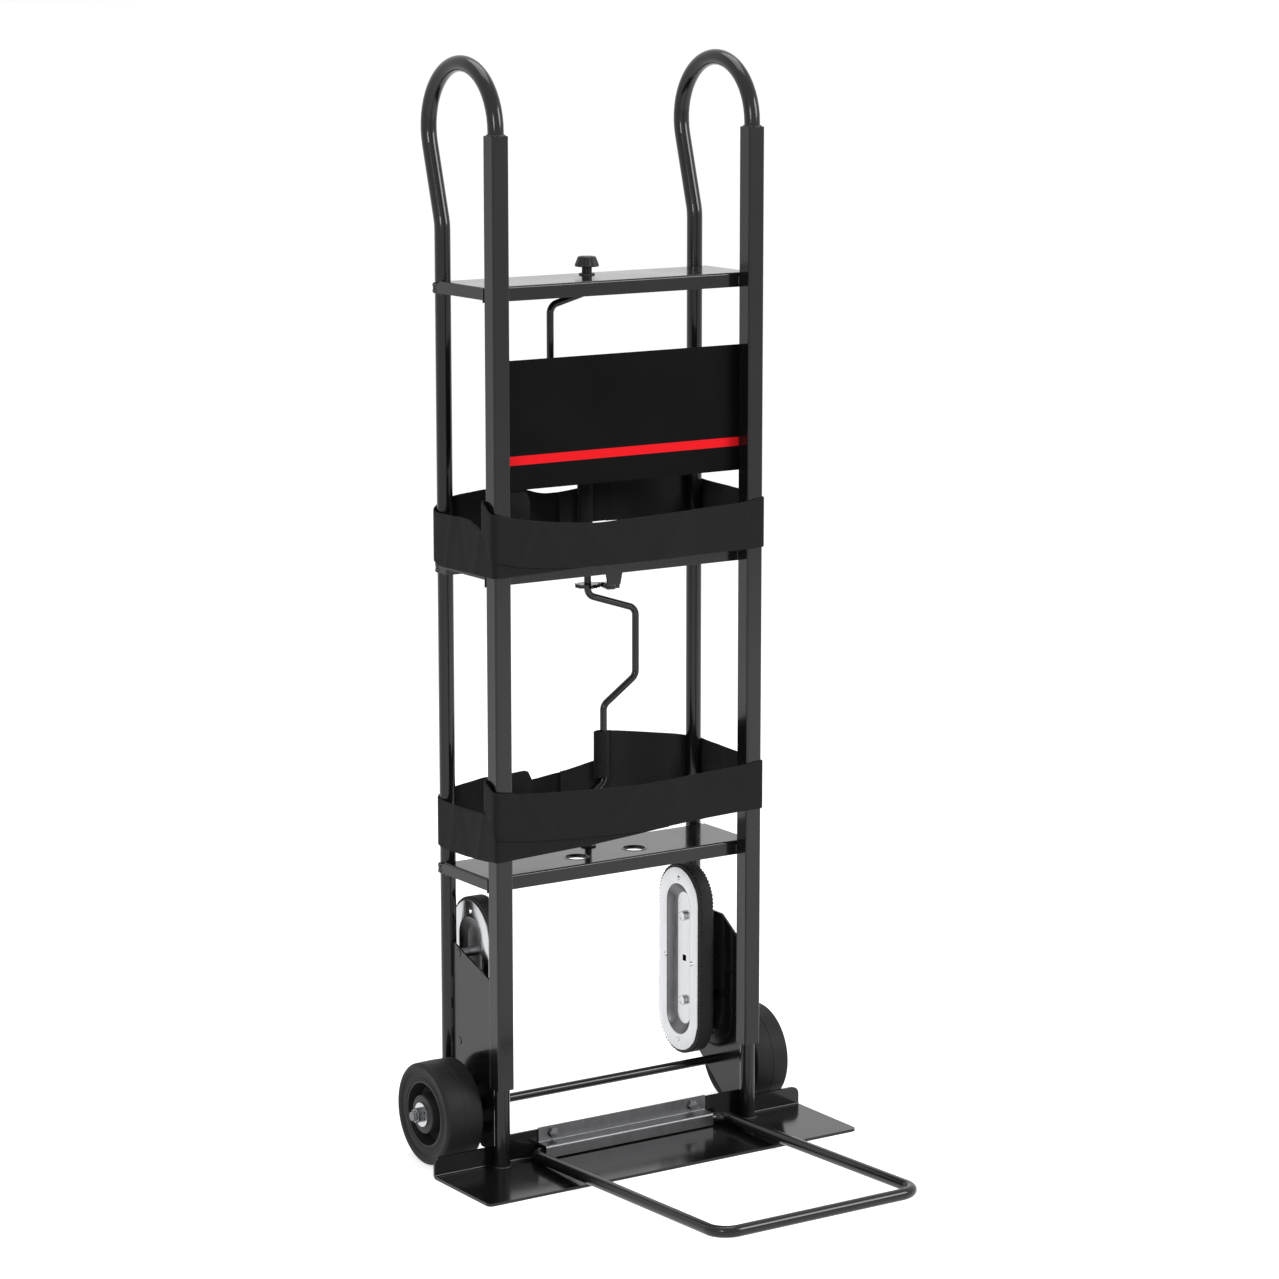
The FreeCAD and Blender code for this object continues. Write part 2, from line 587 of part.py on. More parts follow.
def side_tubes():
    """The handle loop goes round from the front leg and meets the kinked rear leg on a tangent."""
    radius, height = value("loop_radius"), value("loop_height")
    kink = V(value("frame_depth") - radius, value("kink_height") - height, 0)
    slant = math.atan2(kink.y, kink.x) + math.acos(radius / kink.Length)
    owner = new_body("side_tube_right")
    path = new_sketch(owner, "YZ_Plane", "rail_x")
    tangent = V(radius + radius * math.cos(slant), height + radius * math.sin(slant), 0)
    corner = V(value("frame_depth"), value("kink_height"), 0)
    foot = V(value("frame_depth"), value("leg_bottom"), 0)
    start, end, bend, left = rounding(tangent, corner, foot, value("kink_radius"))
    front = path.addGeometry(Part.LineSegment(V(0, value("toe_sheet + weld_gap"), 0), V(0, height, 0)), False)
    loop = path.addGeometry(
        Part.ArcOfCircle(Part.Circle(V(radius, height, 0), V(0, 0, 1), radius), slant, math.pi), False)
    slope = path.addGeometry(Part.LineSegment(tangent, start), False)
    kinked = path.addGeometry(bend, False)
    rear = path.addGeometry(Part.LineSegment(end, foot), False)
    mark = path.addGeometry(Part.Point(corner), True)
    for items in ((front, 2, loop, 2), (loop, 1, slope, 1), (slope, 2, kinked, 1 if left else 2),
                  (kinked, 2 if left else 1, rear, 1)):
        path.addConstraint(Sketcher.Constraint("Tangent", *items))
    fix(path, front, 1, "0", "toe_sheet + weld_gap")
    fix(path, loop, 3, "loop_radius", "loop_height")
    tie(path, "Radius", (loop,), radius, "loop_radius")
    fix(path, mark, 1, "frame_depth", "kink_height")
    for run in (slope, rear):
        path.addConstraint(Sketcher.Constraint("PointOnObject", mark, 1, run))
    tie(path, "Radius", (kinked,), value("kink_radius"), "kink_radius")
    fix(path, rear, 2, "frame_depth", "leg_bottom")
    profile = new_sketch(owner, "XY_Plane", "toe_sheet + weld_gap")
    circle(profile, "rail_x", "0", "tube_radius")
    circle(profile, "rail_x", "0", "tube_bore")
    doc.recompute()
    made = owner.newObject("PartDesign::AdditivePipe", "side_tube_pipe")
    made.Profile = profile
    made.Spine = (path, ["Edge1", "Edge2", "Edge3", "Edge4", "Edge5"])
    return pair("side_tube", owner)


def front_rails():
    """Square tube round the front leg."""
    owner = new_body("front_rail_right")
    drawn = new_sketch(owner, "XY_Plane", "rail_bottom")
    for half, corner in (("rail_half", "rail_corner"), ("rail_bore", "rail_corner - rail_wall")):
        outline(drawn, [(f"rail_x {sx} {half}", f"0 {sy} {half}", corner)
                        for sx, sy in (("-", "-"), ("+", "-"), ("+", "+"), ("-", "+"))])
    pad(owner, drawn, "rail_top - rail_bottom")
    return pair("front_rail", owner)


def shelf(label, height, drills):
    """A folded sheet pan with an ear beside each rear leg."""
    pan = new_body(label + "_pan")
    drawn = new_sketch(pan, "XY_Plane", f"{height} - shelf_flange")
    outline(drawn, (("-shelf_end", "shelf_front"), ("shelf_end", "shelf_front"),
                    ("shelf_end", "shelf_back"), ("-shelf_end", "shelf_back")))
    block = pad(pan, drawn, "shelf_flange")
    doc.recompute()
    top = value(height)
    fold = pan.newObject("PartDesign::Fillet", label + "_fold")
    fold.Base = (block, edges_where(block.Shape, lambda point: near(point.z, top)))
    bind(fold, {"Radius": "shelf_bend"})
    doc.recompute()
    under = min(range(len(fold.Shape.Faces)), key=lambda index: fold.Shape.Faces[index].CenterOfMass.z)
    shell = pan.newObject("PartDesign::Thickness", label + "_sheet")
    shell.Base = (fold, [f"Face{under + 1}"])
    shell.Reversed = True
    bind(shell, {"Value": "shelf_sheet"})
    ears = [box(f"{label}_ear_{name}", x, "shelf_back - ear_lap", f"{height} - shelf_flange",
                "shelf_sheet", "frame_depth + ear_reach - shelf_back + ear_lap", "shelf_flange - shelf_bend")
            for name, x in (("right", "ear_inner"), ("left", "-shelf_end"))]
    whole = fuse(label + "_folded", [pan] + ears)
    tools = [drill(f"{label}_winder_hole", "bush_diameter / 2 + close_fit", "shelf_flange",
                   "0", "winder_setback", f"{height} - shelf_flange / 2")]
    for name, x in (("right", "ear_inner"), ("left", "-shelf_end - overrun")):
        tools.append(box(f"{label}_end_trim_{name}", x, "shelf_front + shelf_sheet",
                         f"{height} - shelf_flange - overrun", "shelf_sheet + overrun",
                         "frame_depth + ear_reach + overrun", "shelf_flange - shelf_end_flange + overrun"))
    for index, (side, rise) in enumerate(ear_rivet_places()):
        tools.append(drill(f"{label}_ear_hole_{index}", "rivet_diameter / 2 + close_fit", "2 * overrun",
                           f"{side} * ear_inner - overrun", "frame_depth", f"{height} - {rise}", TO_RIGHT))
    return cut(label, whole, tools + drills)


def ear_rivet_places():
    """Side and depth below the shelf's top of the rivets in the ears."""
    middle = "(shelf_end_flange + shelf_bend) / 2"
    return [(side, f"({middle} {sign} rivet_spacing / 2)") for side in ("1", "-1") for sign in "+-"]


def shelves():
    """Three shelves; the lower one has two round holes, and the middle one carries the pawl bracket."""
    holes = [drill("shelf_hole_" + name, "shelf_hole_diameter / 2", "shelf_flange",
                   f"{sign}shelf_hole_spacing / 2", "shelf_hole_setback",
                   "lower_shelf_height - shelf_flange / 2")
             for name, sign in (("right", "+"), ("left", "-"))]
    seats = [drill(f"bracket_hole_{index}", "rivet_diameter / 2 + close_fit", "shelf_flange", x, y,
                   "middle_shelf_height - shelf_flange / 2")
             for index, (x, y) in enumerate(bracket_rivet_places())]
    for name, x in (("right", "ear_inner"), ("left", "-shelf_end - overrun")):
        seats.append(box(f"middle_end_trim_{name}", x, "shelf_front + shelf_sheet",
                         "middle_shelf_height - shelf_flange - overrun", "shelf_sheet + overrun",
                         "shelf_back - ear_lap - shelf_front - shelf_sheet",
                         "shelf_flange - shelf_end_flange + middle_end_trim + overrun"))
    return [shelf("top_shelf", "top_shelf_height", []), shelf("middle_shelf", "middle_shelf_height", seats),
            shelf("lower_shelf", "lower_shelf_height", holes)]


def shelf_rivets():
    """Two rivets in each ear, seated on the rear leg."""
    made = []
    for height in ("top_shelf_height", "middle_shelf_height", "lower_shelf_height"):
        for side, rise in ear_rivet_places()[:2]:
            made.append(rivet(f"shelf_rivet_{len(made)}", "shelf_sheet", "shelf_end", "frame_depth",
                              f"{height} - {rise}", FreeCAD.Rotation(V(0, 1, 0), -90)))
    return both_sides("shelf_rivets", made)


def header_panel():
    """A flat sheet on the rear faces of the rails, with its four screws."""
    half, low, high = "panel_half", "panel_bottom", "panel_top"
    corners = [(f"-{half}", low, "panel_corner"), (half, low, "panel_corner"),
               (half, high, "panel_corner"), (f"-{half}", high, "panel_corner")]
    rows = (f"{low} + panel_screw_inset", f"{high} - panel_screw_inset")
    spots = [(x, z) for x in ("rail_x", "-rail_x") for z in rows]
    holes = [(x, z, "rivet_diameter / 2 + close_fit") for x, z in spots]
    panel = plate("header_panel", "XZ_Plane", "-(shelf_front + panel_sheet)", corners, "panel_sheet", holes)
    screws = [rivet(f"panel_screw_{index}", "panel_sheet", x, "shelf_front + panel_sheet", z, TO_FRONT)
              for index, (x, z) in enumerate(spots)]
    return [panel, group("panel_screws", screws)]


def side_plates():
    """Sheet between front rail and rear leg, behind the upstand, with the axle's hole and the bolt holes."""
    corners = [("shelf_front", "side_notch"), ("side_front", "side_notch"), ("side_front", "side_bottom"),
               ("side_foot", "side_bottom"), ("shelf_back", "side_rear_bottom"),
               ("shelf_back", "side_rear_top", "side_corner"), ("shelf_front", "side_front_top")]
    holes = [("axle_setback", "axle_height", "axle_radius + close_fit")]
    holes += [("climber_setback", f"climber_centre {sign} climber_bolt_spacing / 2",
               "climber_bolt / 2 + close_fit") for sign in "+-"]
    sheet = plate("side_plate_right", "YZ_Plane", "side_inner", corners, "side_sheet", holes)
    return pair("side_plate", sheet)


def toe_plate():
    """Bent plate: the upstand is higher between the rails and rounded at its ends."""
    corners = [("-toe_front", "0"), ("upstand_back", "0", "toe_bend + toe_sheet"),
               ("upstand_back", "upstand_height"), ("upstand_front", "upstand_height"),
               ("upstand_front", "toe_sheet", "toe_bend"), ("-toe_front", "toe_sheet")]
    bend = plate("toe_plate_bend", "YZ_Plane", "-toe_width / 2", corners, "toe_width")
    doc.recompute()
    front, half = -value("toe_front"), value("toe_width / 2")
    rounded = bend.newObject("PartDesign::Fillet", "toe_plate_corners")
    pressed = bend.Group[1]
    rounded.Base = (pressed, [name for side in (half, -half) for name in edges_where(
        pressed.Shape, lambda point: near(point.y, front) and near(point.x, side))])
    bind(rounded, {"Radius": "toe_corner"})
    end, drop = "toe_width / 2", "upstand_end_height - upstand_corner - overrun"
    step = plate("upstand_step", "XZ_Plane", "-(upstand_back + overrun)", [
        ("rail_x", "upstand_end_height"), (end, "upstand_end_height", "upstand_corner"), (end, drop),
        (f"{end} + overrun", drop), (f"{end} + overrun", "upstand_height + overrun"),
        ("rail_x", "upstand_height + overrun")], "toe_sheet + toe_bend + 2 * overrun")
    tools = [step, mirrored("upstand_step_left", step)]
    for name, x in hinge_bolt_places():
        tools.append(drill("toe_hole_" + name, "hinge_bolt / 2 + close_fit", "toe_sheet + 2 * overrun",
                           x, "upstand_front - overrun", "hinge_bolt_height", TO_REAR))
    return [cut("toe_plate", bend, tools)]


def hinge_bolt_places():
    """Names and sideways places of the hinge bracket's bolts."""
    return (("right", "hinge_bolt_spacing / 2"), ("left", "-hinge_bolt_spacing / 2"))


def nose_hinge():
    """A folded bracket over the rear bar of the nose loop, bolted to the upstand."""
    lip = "hinge_inside - hinge_sheet"
    corners = [("upstand_front", "hinge_roof"), ("upstand_front", "hinge_top"),
               ("upstand_front - hinge_sheet", "hinge_top"),
               ("upstand_front - hinge_sheet", "hinge_roof + hinge_sheet", "hinge_bend"),
               (lip, "hinge_roof + hinge_sheet", "hinge_bend + hinge_sheet"), (lip, "hinge_lip"),
               ("hinge_inside", "hinge_lip"), ("hinge_inside", "hinge_roof", "hinge_bend")]
    fold = plate("nose_hinge_fold", "YZ_Plane", "-hinge_length / 2", corners, "hinge_length")
    tools, bolts, nuts = [], [], []
    for name, x in hinge_bolt_places():
        tools.append(drill("hinge_hole_" + name, "hinge_bolt / 2 + close_fit", "hinge_sheet + 2 * overrun",
                           x, "upstand_front - hinge_sheet - overrun", "hinge_bolt_height", TO_REAR))
        bolts.append(bolt("hinge_bolt_" + name, "hinge_bolt_flats", "hinge_bolt_head", "hinge_bolt",
                          "hinge_sheet + toe_sheet + hinge_nut_height", x, "upstand_front - hinge_sheet",
                          "hinge_bolt_height", TO_REAR))
        nuts.append(nut("hinge_nut_" + name, "hinge_bolt_flats", "hinge_nut_height",
                        "hinge_bolt / 2 + close_fit", x, "upstand_back", "hinge_bolt_height", TO_REAR))
    return [cut("nose_hinge_bracket", fold, tools), group("hinge_bolts", bolts), group("hinge_nuts", nuts)]


def nose_loop():
    """A rod bent into a loop about its hinge axis; its ends meet inside the hinge bracket."""
    side = "nose_spacing / 2"
    corners = [("nose_joint / 2", "0"), (side, "0", "nose_rear_bend"), (side, "-nose_reach", "nose_bend"),
               (f"-{side}", "-nose_reach", "nose_bend"), (f"-{side}", "0", "nose_rear_bend"),
               ("-nose_joint / 2", "0")]
    loop = bent("nose_loop", "XY_Plane", "0", corners, "YZ_Plane", "nose_joint / 2", ("0", "0"),
                "nose_rod / 2")
    tilt = FreeCAD.Rotation(V(-1, 0, 0), value("nose_tilt"))
    return [place(loop, "nose_shift", "nose_axis", "nose_height", tilt)]


def axle_pieces():
    """Axle through both side plates, with spacers inside the wheels and washers and nuts outside."""
    where = ("axle_setback", "axle_height", TO_RIGHT)
    axle = drill("axle", "axle_radius", "2 * axle_reach", "-axle_reach", *where)
    bore = "axle_radius + close_fit"
    spacer = ring("axle_spacer", bore, "spacer_diameter / 2", "hub_inner - side_outer - seat_gap - weld_gap",
                  "side_outer + weld_gap", *where)
    washer = ring("axle_washer", bore, "washer_diameter / 2", "washer_sheet", "hub_outer + seat_gap", *where)
    end = nut("axle_nut", "axle_nut_flats", "axle_nut_height", bore,
              "hub_outer + seat_gap + washer_sheet", *where)
    return [axle, both_sides("axle_spacers", [spacer]), both_sides("axle_washers", [washer]),
            both_sides("axle_nuts", [end])]


def wheels():
    """Moulded tyre on a dished hub, with a bush that turns on the axle."""
    where = ("wheel_plane", "axle_setback", "axle_height", TO_RIGHT)
    half, tread, bore = "wheel_width / 2", "wheel_diameter / 2", "tyre_bore / 2"
    tyre = turned("tyre_right", [(bore, f"-{half}"), (tread, f"-{half}", "tyre_shoulder"),
                                 (tread, half, "tyre_shoulder"), (bore, half)], *where)
    rim, boss, tip = f"{bore} - close_fit", "hub_boss / 2", "hub_boss_tip / 2"
    one_side = [("hub_bush / 2 + close_fit", "hub_length / 2"), (tip, "hub_length / 2"),
                (boss, "hub_web / 2"), (f"{rim} - hub_rim", "hub_web / 2"),
                (f"{rim} - hub_rim_edge", half), (rim, half)]
    profile = one_side + [(radius, f"-({along})") for radius, along in reversed(one_side)]
    hub = turned("hub_right", profile, *where)
    bush = ring("wheel_bush_right", "axle_radius + running_fit", "hub_bush / 2", "hub_length",
                "hub_inner", "axle_setback", "axle_height", TO_RIGHT)
    return pair("tyre", tyre) + pair("hub", hub) + pair("wheel_bush", bush)


def winder_shaft():
    """One rod bent into two cranks, with an offset where the lower strap is sewn on."""
    corners = [("0", "winder_head")]
    corners += [(x, f"top_shelf_height - {share} * top_shelf_rise", "winder_bend")
                for x, share in UPPER_CRANK_SHARES]
    corners += [(x, f"middle_shelf_height - {share} * middle_shelf_rise", "winder_bend")
                for x, share in LOWER_CRANK_SHARES]
    corners += [("0", "winder_foot")]
    return [bent("winder_shaft", "XZ_Plane", "-winder_setback", corners, "XY_Plane", "winder_head",
                 ("0", "winder_setback"), "winder_radius")]


def winder_pieces():
    """Knob, ratchet wheel and clip on the shaft, and the bushes in the shelves that it turns in."""
    axis = ("0", "winder_setback")
    bore, high = "winder_radius + close_fit", "knob_stem_height + knob_cap_height"
    knob = turned("winder_knob", [(bore, "0"), ("knob_stem / 2", "0"), ("knob_stem / 2", "knob_stem_height"),
                                  ("knob_base / 2", "knob_stem_height"), ("knob_top / 2", high), ("0", high),
                                  ("0", "knob_socket"), (bore, "knob_socket")],
                  *axis, "top_shelf_height + bush_flange_rise + seat_gap")
    wheel = new_body("ratchet_wheel")
    drawn = new_sketch(wheel, "XY_Plane")
    teeth = []
    for tooth in range(int(value("ratchet_teeth"))):
        angle = f"({tooth} + 0.5) * 360 deg / ratchet_teeth"
        for size in ("ratchet_root / 2", "ratchet_diameter / 2"):
            teeth.append((f"{size} * cos({angle})", f"{size} * sin({angle})"))
    outline(drawn, teeth)
    circle(drawn, "0", "0", bore)
    pad(wheel, drawn, "ratchet_sheet")
    place(wheel, *axis, "ratchet_height")
    clip = ring("winder_clip", bore, "clip_diameter / 2", "clip_sheet", *axis, "clip_height")
    bushes = []
    for name in ("top", "middle", "lower"):
        fit, flange = "winder_radius + running_fit", "bush_flange / 2"
        bushes.append(turned(f"winder_bush_{name}", [
            (fit, "-bush_length"), ("bush_diameter / 2", "-bush_length"), ("bush_diameter / 2", "0"),
            (flange, "0"), (flange, "bush_flange_rise"), (fit, "bush_flange_rise")],
            *axis, f"{name}_shelf_height"))
    return [knob, wheel, clip, group("winder_bushes", bushes)]


def bracket_rivet_places():
    """Places of the two rivets that hold the pawl bracket under the middle shelf."""
    return [(f"pawl_pivot_side {sign} bracket_rivet_spacing / 2", "bracket_back + bracket_flange / 2")
            for sign in "+-"]


def pawl_bracket():
    """A strip folded twice: a flange under the shelf, a tapered web, and a foot over the pawl."""
    side = "pawl_pivot_side"
    made = new_body("pawl_bracket_fold")
    web = new_sketch(made, "XZ_Plane", "-bracket_back")
    outline(web, [(f"{side} {sign} {width} / 2", height) for sign, width, height in (
        ("-", "bracket_foot", "bracket_floor"), ("+", "bracket_foot", "bracket_floor"),
        ("+", "bracket_top", "bracket_ceiling"), ("-", "bracket_top", "bracket_ceiling"))])
    pad(made, web, "bracket_sheet")
    flanges = (("bracket_top", "bracket_back + bracket_flange", "bracket_ceiling - bracket_sheet"),
               ("bracket_foot", "pivot_y + pawl_eye / 2", "bracket_floor"))
    for width, end, floor in flanges:
        flat = new_sketch(made, "XY_Plane", floor)
        outline(flat, [(f"{side} - {width} / 2", "bracket_front"), (f"{side} + {width} / 2", "bracket_front"),
                       (f"{side} + {width} / 2", end), (f"{side} - {width} / 2", end)])
        pad(made, flat, "bracket_sheet")
    tools = [drill("bracket_pivot_hole", "pivot_diameter / 2 + close_fit", "bracket_sheet + 2 * overrun",
                   side, "pivot_y", "bracket_floor - overrun")]
    tools += [drill(f"bracket_rivet_hole_{index}", "rivet_diameter / 2 + close_fit",
                    "bracket_sheet + 2 * overrun", x, y, "bracket_ceiling - bracket_sheet - overrun")
              for index, (x, y) in enumerate(bracket_rivet_places())]
    rivets = [rivet(f"bracket_rivet_{index}", "shelf_sheet + weld_gap + bracket_sheet", x, y,
                    "middle_shelf_height", UPSIDE_DOWN, closed=True)
              for index, (x, y) in enumerate(bracket_rivet_places())]
    return [cut("pawl_bracket", made, tools), group("bracket_rivets", rivets)]


def around(radius, angle):
    """A point at a distance from the winder's axis, at an angle from the right-hand side."""
    return (f"({radius}) * cos({angle} deg)", f"({radius}) * sin({angle} deg)")


def pawl_pieces():
    """The pawl's nose lies in a tooth gap of the ratchet wheel, and its pivot hangs from the bracket."""
    side, front = "pawl_pivot_side", "-pawl_pivot_front"
    eye = "(pawl_eye / 2 - seat_gap)"
    root, clear = "ratchet_root / 2 + 2 * seat_gap", "ratchet_diameter / 2 + 2 * seat_gap"
    slope = f"{root} + {TOOTH_SLOPE_SHARE} * (ratchet_diameter - ratchet_root) / 2"
    nose = [around(root, NOSE_TIP_ANGLE), around(slope, NOSE_SLOPE_ANGLE)]
    nose += [around(clear, angle) for angle in NOSE_HOLLOW_ANGLES]
    nose += [(f"{side} - {eye}", front), (f"{side} + {eye}", front), (f"{side} + {eye}", "0"),
             around(clear, NOSE_BACK_ANGLE)]
    edges = (f"{front} - pawl_tail_width / 2", f"{front} + pawl_tail_width / 2")
    tip = f"{side} + pawl_tail"
    tail = [(side, edges[0]), (tip, edges[0]), (tip, edges[1]), (side, edges[1])]
    made = new_body("pawl_lever")
    for shape in (nose, tail):
        drawn = new_sketch(made, "XY_Plane")
        outline(drawn, shape)
        pad(made, drawn, "ratchet_sheet")
    ear = new_sketch(made, "XY_Plane")
    circle(ear, side, front, "pawl_eye / 2")
    pad(made, ear, "ratchet_sheet")
    place(made, "0", "winder_setback", "ratchet_height")
    hole = drill("pawl_hole", "pivot_diameter / 2 + running_fit", "ratchet_sheet + 2 * overrun",
                 side, "pivot_y", "ratchet_height - overrun")
    stem = "ratchet_sheet + bracket_clear + bracket_sheet + seat_gap"
    shank, head = "pivot_diameter / 2", "pivot_head / 2"
    end = f"{stem} + pivot_end"
    pin = turned("pawl_pivot", [("0", "-pivot_rise"), (head, "-pivot_rise"), (head, "0"), (shank, "0"),
                                (shank, stem), (head, stem), (head, end), ("0", end)],
                 side, "pivot_y", "bracket_floor + bracket_sheet", UPSIDE_DOWN)
    return [cut("pawl", made, [hole]), pin]


def strap_stations(front, rear, end):
    """Plan points, plan normals and heights of a strap's right half, from the winder round to the front."""
    half_sheet = value("strap_sheet") / 2
    axis = V(0, value("winder_setback"), 0)
    leg = V(value("rail_x"), value("frame_depth"), 0)
    leg_radius = value("tube_radius + seat_gap") + half_sheet
    away = leg - axis
    lean = math.atan2(away.y, away.x) + math.asin(leg_radius / away.Length)
    back = V(-math.sin(lean), math.cos(lean), 0)
    start = axis + V(math.cos(lean), math.sin(lean), 0) * value("strap_reach")
    stations = [(start, back, value(end))]
    turn = math.pi / 2 + lean
    for step in range(LEG_STEPS + 1):
        angle = turn * (1 - step / LEG_STEPS)
        normal = V(math.cos(angle), math.sin(angle), 0)
        stations.append((leg + normal * leg_radius, normal, value(rear)))
    inset = value("rail_half - rail_corner")
    corner_radius = value("rail_corner + seat_gap") + half_sheet
    behind = V(value("rail_x") + inset, inset, 0)
    dropped = value(f"{front} + {STRAP_DROP_SHARE} * ({rear} - {front})")
    stations.append((behind + V(corner_radius, 0, 0), V(1, 0, 0), dropped))
    ahead = V(value("rail_x") + inset, -inset, 0)
    for step in range(CORNER_STEPS + 1):
        angle = -math.pi / 2 * step / CORNER_STEPS
        normal = V(math.cos(angle), math.sin(angle), 0)
        stations.append((ahead + normal * corner_radius, normal, value(front)))
    return stations


def strap(label, front, rear, end):
    """A webbing band: upright sections along its run, joined by ruled faces."""
    half_sheet, half_width = value("strap_sheet") / 2, V(0, 0, value("strap_width") / 2)
    right = strap_stations(front, rear, end)
    left = [(V(-point.x, point.y, 0), V(-normal.x, normal.y, 0), height)
            for point, normal, height in reversed(right)]
    sections = []
    for point, normal, height in right + left:
        middle = V(point.x, point.y, height)
        inner, outer = middle - normal * half_sheet, middle + normal * half_sheet
        sections.append(Part.makePolygon([inner - half_width, outer - half_width, outer + half_width,
                                          inner + half_width, inner - half_width]))
    made = doc.addObject("Part::Feature", label)
    made.Label = label
    made.Shape = Part.makeLoft(sections, True, True)
    return made


def strap_end(label, step, end):
    """The sewn end of a strap: a sleeve round the rod, with webbing towards both runs."""
    sheet, width = value("strap_sheet"), value("strap_width")
    floor = value(end) - width / 2
    centre = V(value(step), value("winder_setback"), floor)
    reach = value("strap_reach - strap_sheet")
    sleeve, bore = value("strap_sleeve / 2"), value("winder_radius + close_fit")
    outer = Part.makeCylinder(sleeve, width, centre)
    tail = Part.makeBox(2 * reach, sheet, width, V(-reach, value("winder_setback") + sleeve - sheet, floor))
    made = doc.addObject("Part::Feature", label)
    made.Label = label
    made.Shape = outer.fuse(tail).cut(Part.makeCylinder(bore, width, centre)).removeSplitter()
    return made


def straps():
    """Two straps round the four posts, with their sewn ends on the winder."""
    return [strap("upper_strap", "upper_strap_front", "upper_strap_rear", "upper_strap_end"),
            strap("lower_strap", "lower_strap_front", "lower_strap_rear", "lower_strap_end"),
            strap_end("upper_strap_end", "0", "upper_strap_end"),
            strap_end("lower_strap_end", "strap_step", "lower_strap_end")]


def climber_rivet_places():
    """Places, in the plane of the plates, of the four rivets at the ends and sides of a stair climber."""
    rise, reach = "(climber_height / 2 - climber_rivet_inset)", "(climber_width / 2 - climber_rivet_inset)"
    ends = [("climber_setback", f"climber_centre {sign} {rise}") for sign in "+-"]
    return ends + [(f"climber_setback {sign} {reach}", "climber_centre") for sign in "+-"]


def climber_plate(label, rim, wall, floor):
    """A pressed plate: flat rim, upright wall of the dish, and the dish's floor."""
    middle = ("climber_setback", "climber_centre")
    owner = new_body(label)
    flat = new_sketch(owner, "YZ_Plane", rim)
    obround(flat, *middle, "climber_width", "climber_height")
    obround(flat, *middle, "dish_width", "dish_height")
    for spot in climber_rivet_places():
        circle(flat, *spot, "rivet_diameter / 2 + close_fit")
    pad(owner, flat, "climber_sheet")
    upright = new_sketch(owner, "YZ_Plane", wall)
    obround(upright, *middle, "(dish_width + 2 * climber_sheet)", "(dish_height + 2 * climber_sheet)")
    obround(upright, *middle, "dish_width", "dish_height")
    pad(owner, upright, "dish_depth")
    base = new_sketch(owner, "YZ_Plane", floor)
    obround(base, *middle, "(dish_width + 2 * climber_sheet)", "(dish_height + 2 * climber_sheet)")
    for sign in "+-":
        circle(base, "climber_setback", f"climber_centre {sign} climber_bolt_spacing / 2",
               "climber_bolt / 2 + close_fit")
    half = "square_hole / 2"
    outline(base, [(f"climber_setback {sy} {half}", f"climber_centre {sz} {half}")
                   for sy, sz in (("-", "-"), ("+", "-"), ("+", "+"), ("-", "+"))])
    pad(owner, base, "climber_sheet")
    return owner


def band(label, offset, length, width, height, sheet):
    """An upright slot-shaped band."""
    owner = new_body(label)
    drawn = new_sketch(owner, "YZ_Plane", offset)
    middle = ("climber_setback", "climber_centre")
    obround(drawn, *middle, f"({width})", f"({height})")
    obround(drawn, *middle, f"({width} - 2 * {sheet})", f"({height} - 2 * {sheet})")
    pad(owner, drawn, length)
    return owner


def climbers():
    """Two pressed plates with a track between them, and a rubber belt that slides round the track."""
    inner = climber_plate("climber_inner_plate_right", "climber_inner", "climber_inner",
                          "climber_inner + dish_depth - climber_sheet")
    outer = climber_plate("climber_outer_plate_right", "climber_outer - climber_sheet",
                          "climber_outer - dish_depth", "climber_outer - dish_depth")
    gap = "climber_inner + climber_sheet + seat_gap"
    length = "belt_width - 2 * seat_gap"
    width, height = "climber_width + 2 * belt_stand", "climber_height + 2 * belt_stand"
    belt = band("climber_belt_right", gap, length, width, height, "belt_sheet")
    under = "2 * (belt_sheet + seat_gap)"
    track = band("climber_track_right", gap, length, f"{width} - {under}", f"{height} - {under}",
                 "track_sheet")
    made = pair("climber_inner_plate", inner) + pair("climber_outer_plate", outer)
    made += pair("climber_belt", belt) + pair("climber_track", track)
    bolts, nuts, spacers = [], [], []
    for sign, name in (("+", "upper"), ("-", "lower")):
        where = ("climber_setback", f"climber_centre {sign} climber_bolt_spacing / 2", TO_RIGHT)
        head = "climber_inner + dish_depth - climber_sheet"
        bolts.append(bolt("climber_bolt_" + name, "climber_bolt_flats", "climber_bolt_head", "climber_bolt",
                          f"side_outer + climber_nut_height - ({head})", head, *where))
        nuts.append(nut("climber_nut_" + name, "climber_bolt_flats", "climber_nut_height",
                        "climber_bolt / 2 + close_fit", "side_outer", *where))
        bore, outside = "climber_bolt / 2 + close_fit", "climber_spacer / 2"
        spacers.append(ring("climber_spacer_inside_" + name, bore, outside,
                            "climber_outer - climber_inner - 2 * dish_depth",
                            "climber_inner + dish_depth", *where))
        spacers.append(ring("climber_spacer_outside_" + name, bore, outside,
                            "climber_standoff + dish_depth - climber_sheet",
                            "climber_outer - dish_depth + climber_sheet", *where))
    rivets = [rivet(f"climber_rivet_{index}", "climber_outer - climber_inner", "climber_inner", *spot,
                    TO_RIGHT, closed=True) for index, spot in enumerate(climber_rivet_places())]
    return made + [both_sides("climber_bolts", bolts), both_sides("climber_nuts", nuts),
                   both_sides("climber_spacers", spacers), both_sides("climber_rivets", rivets)]


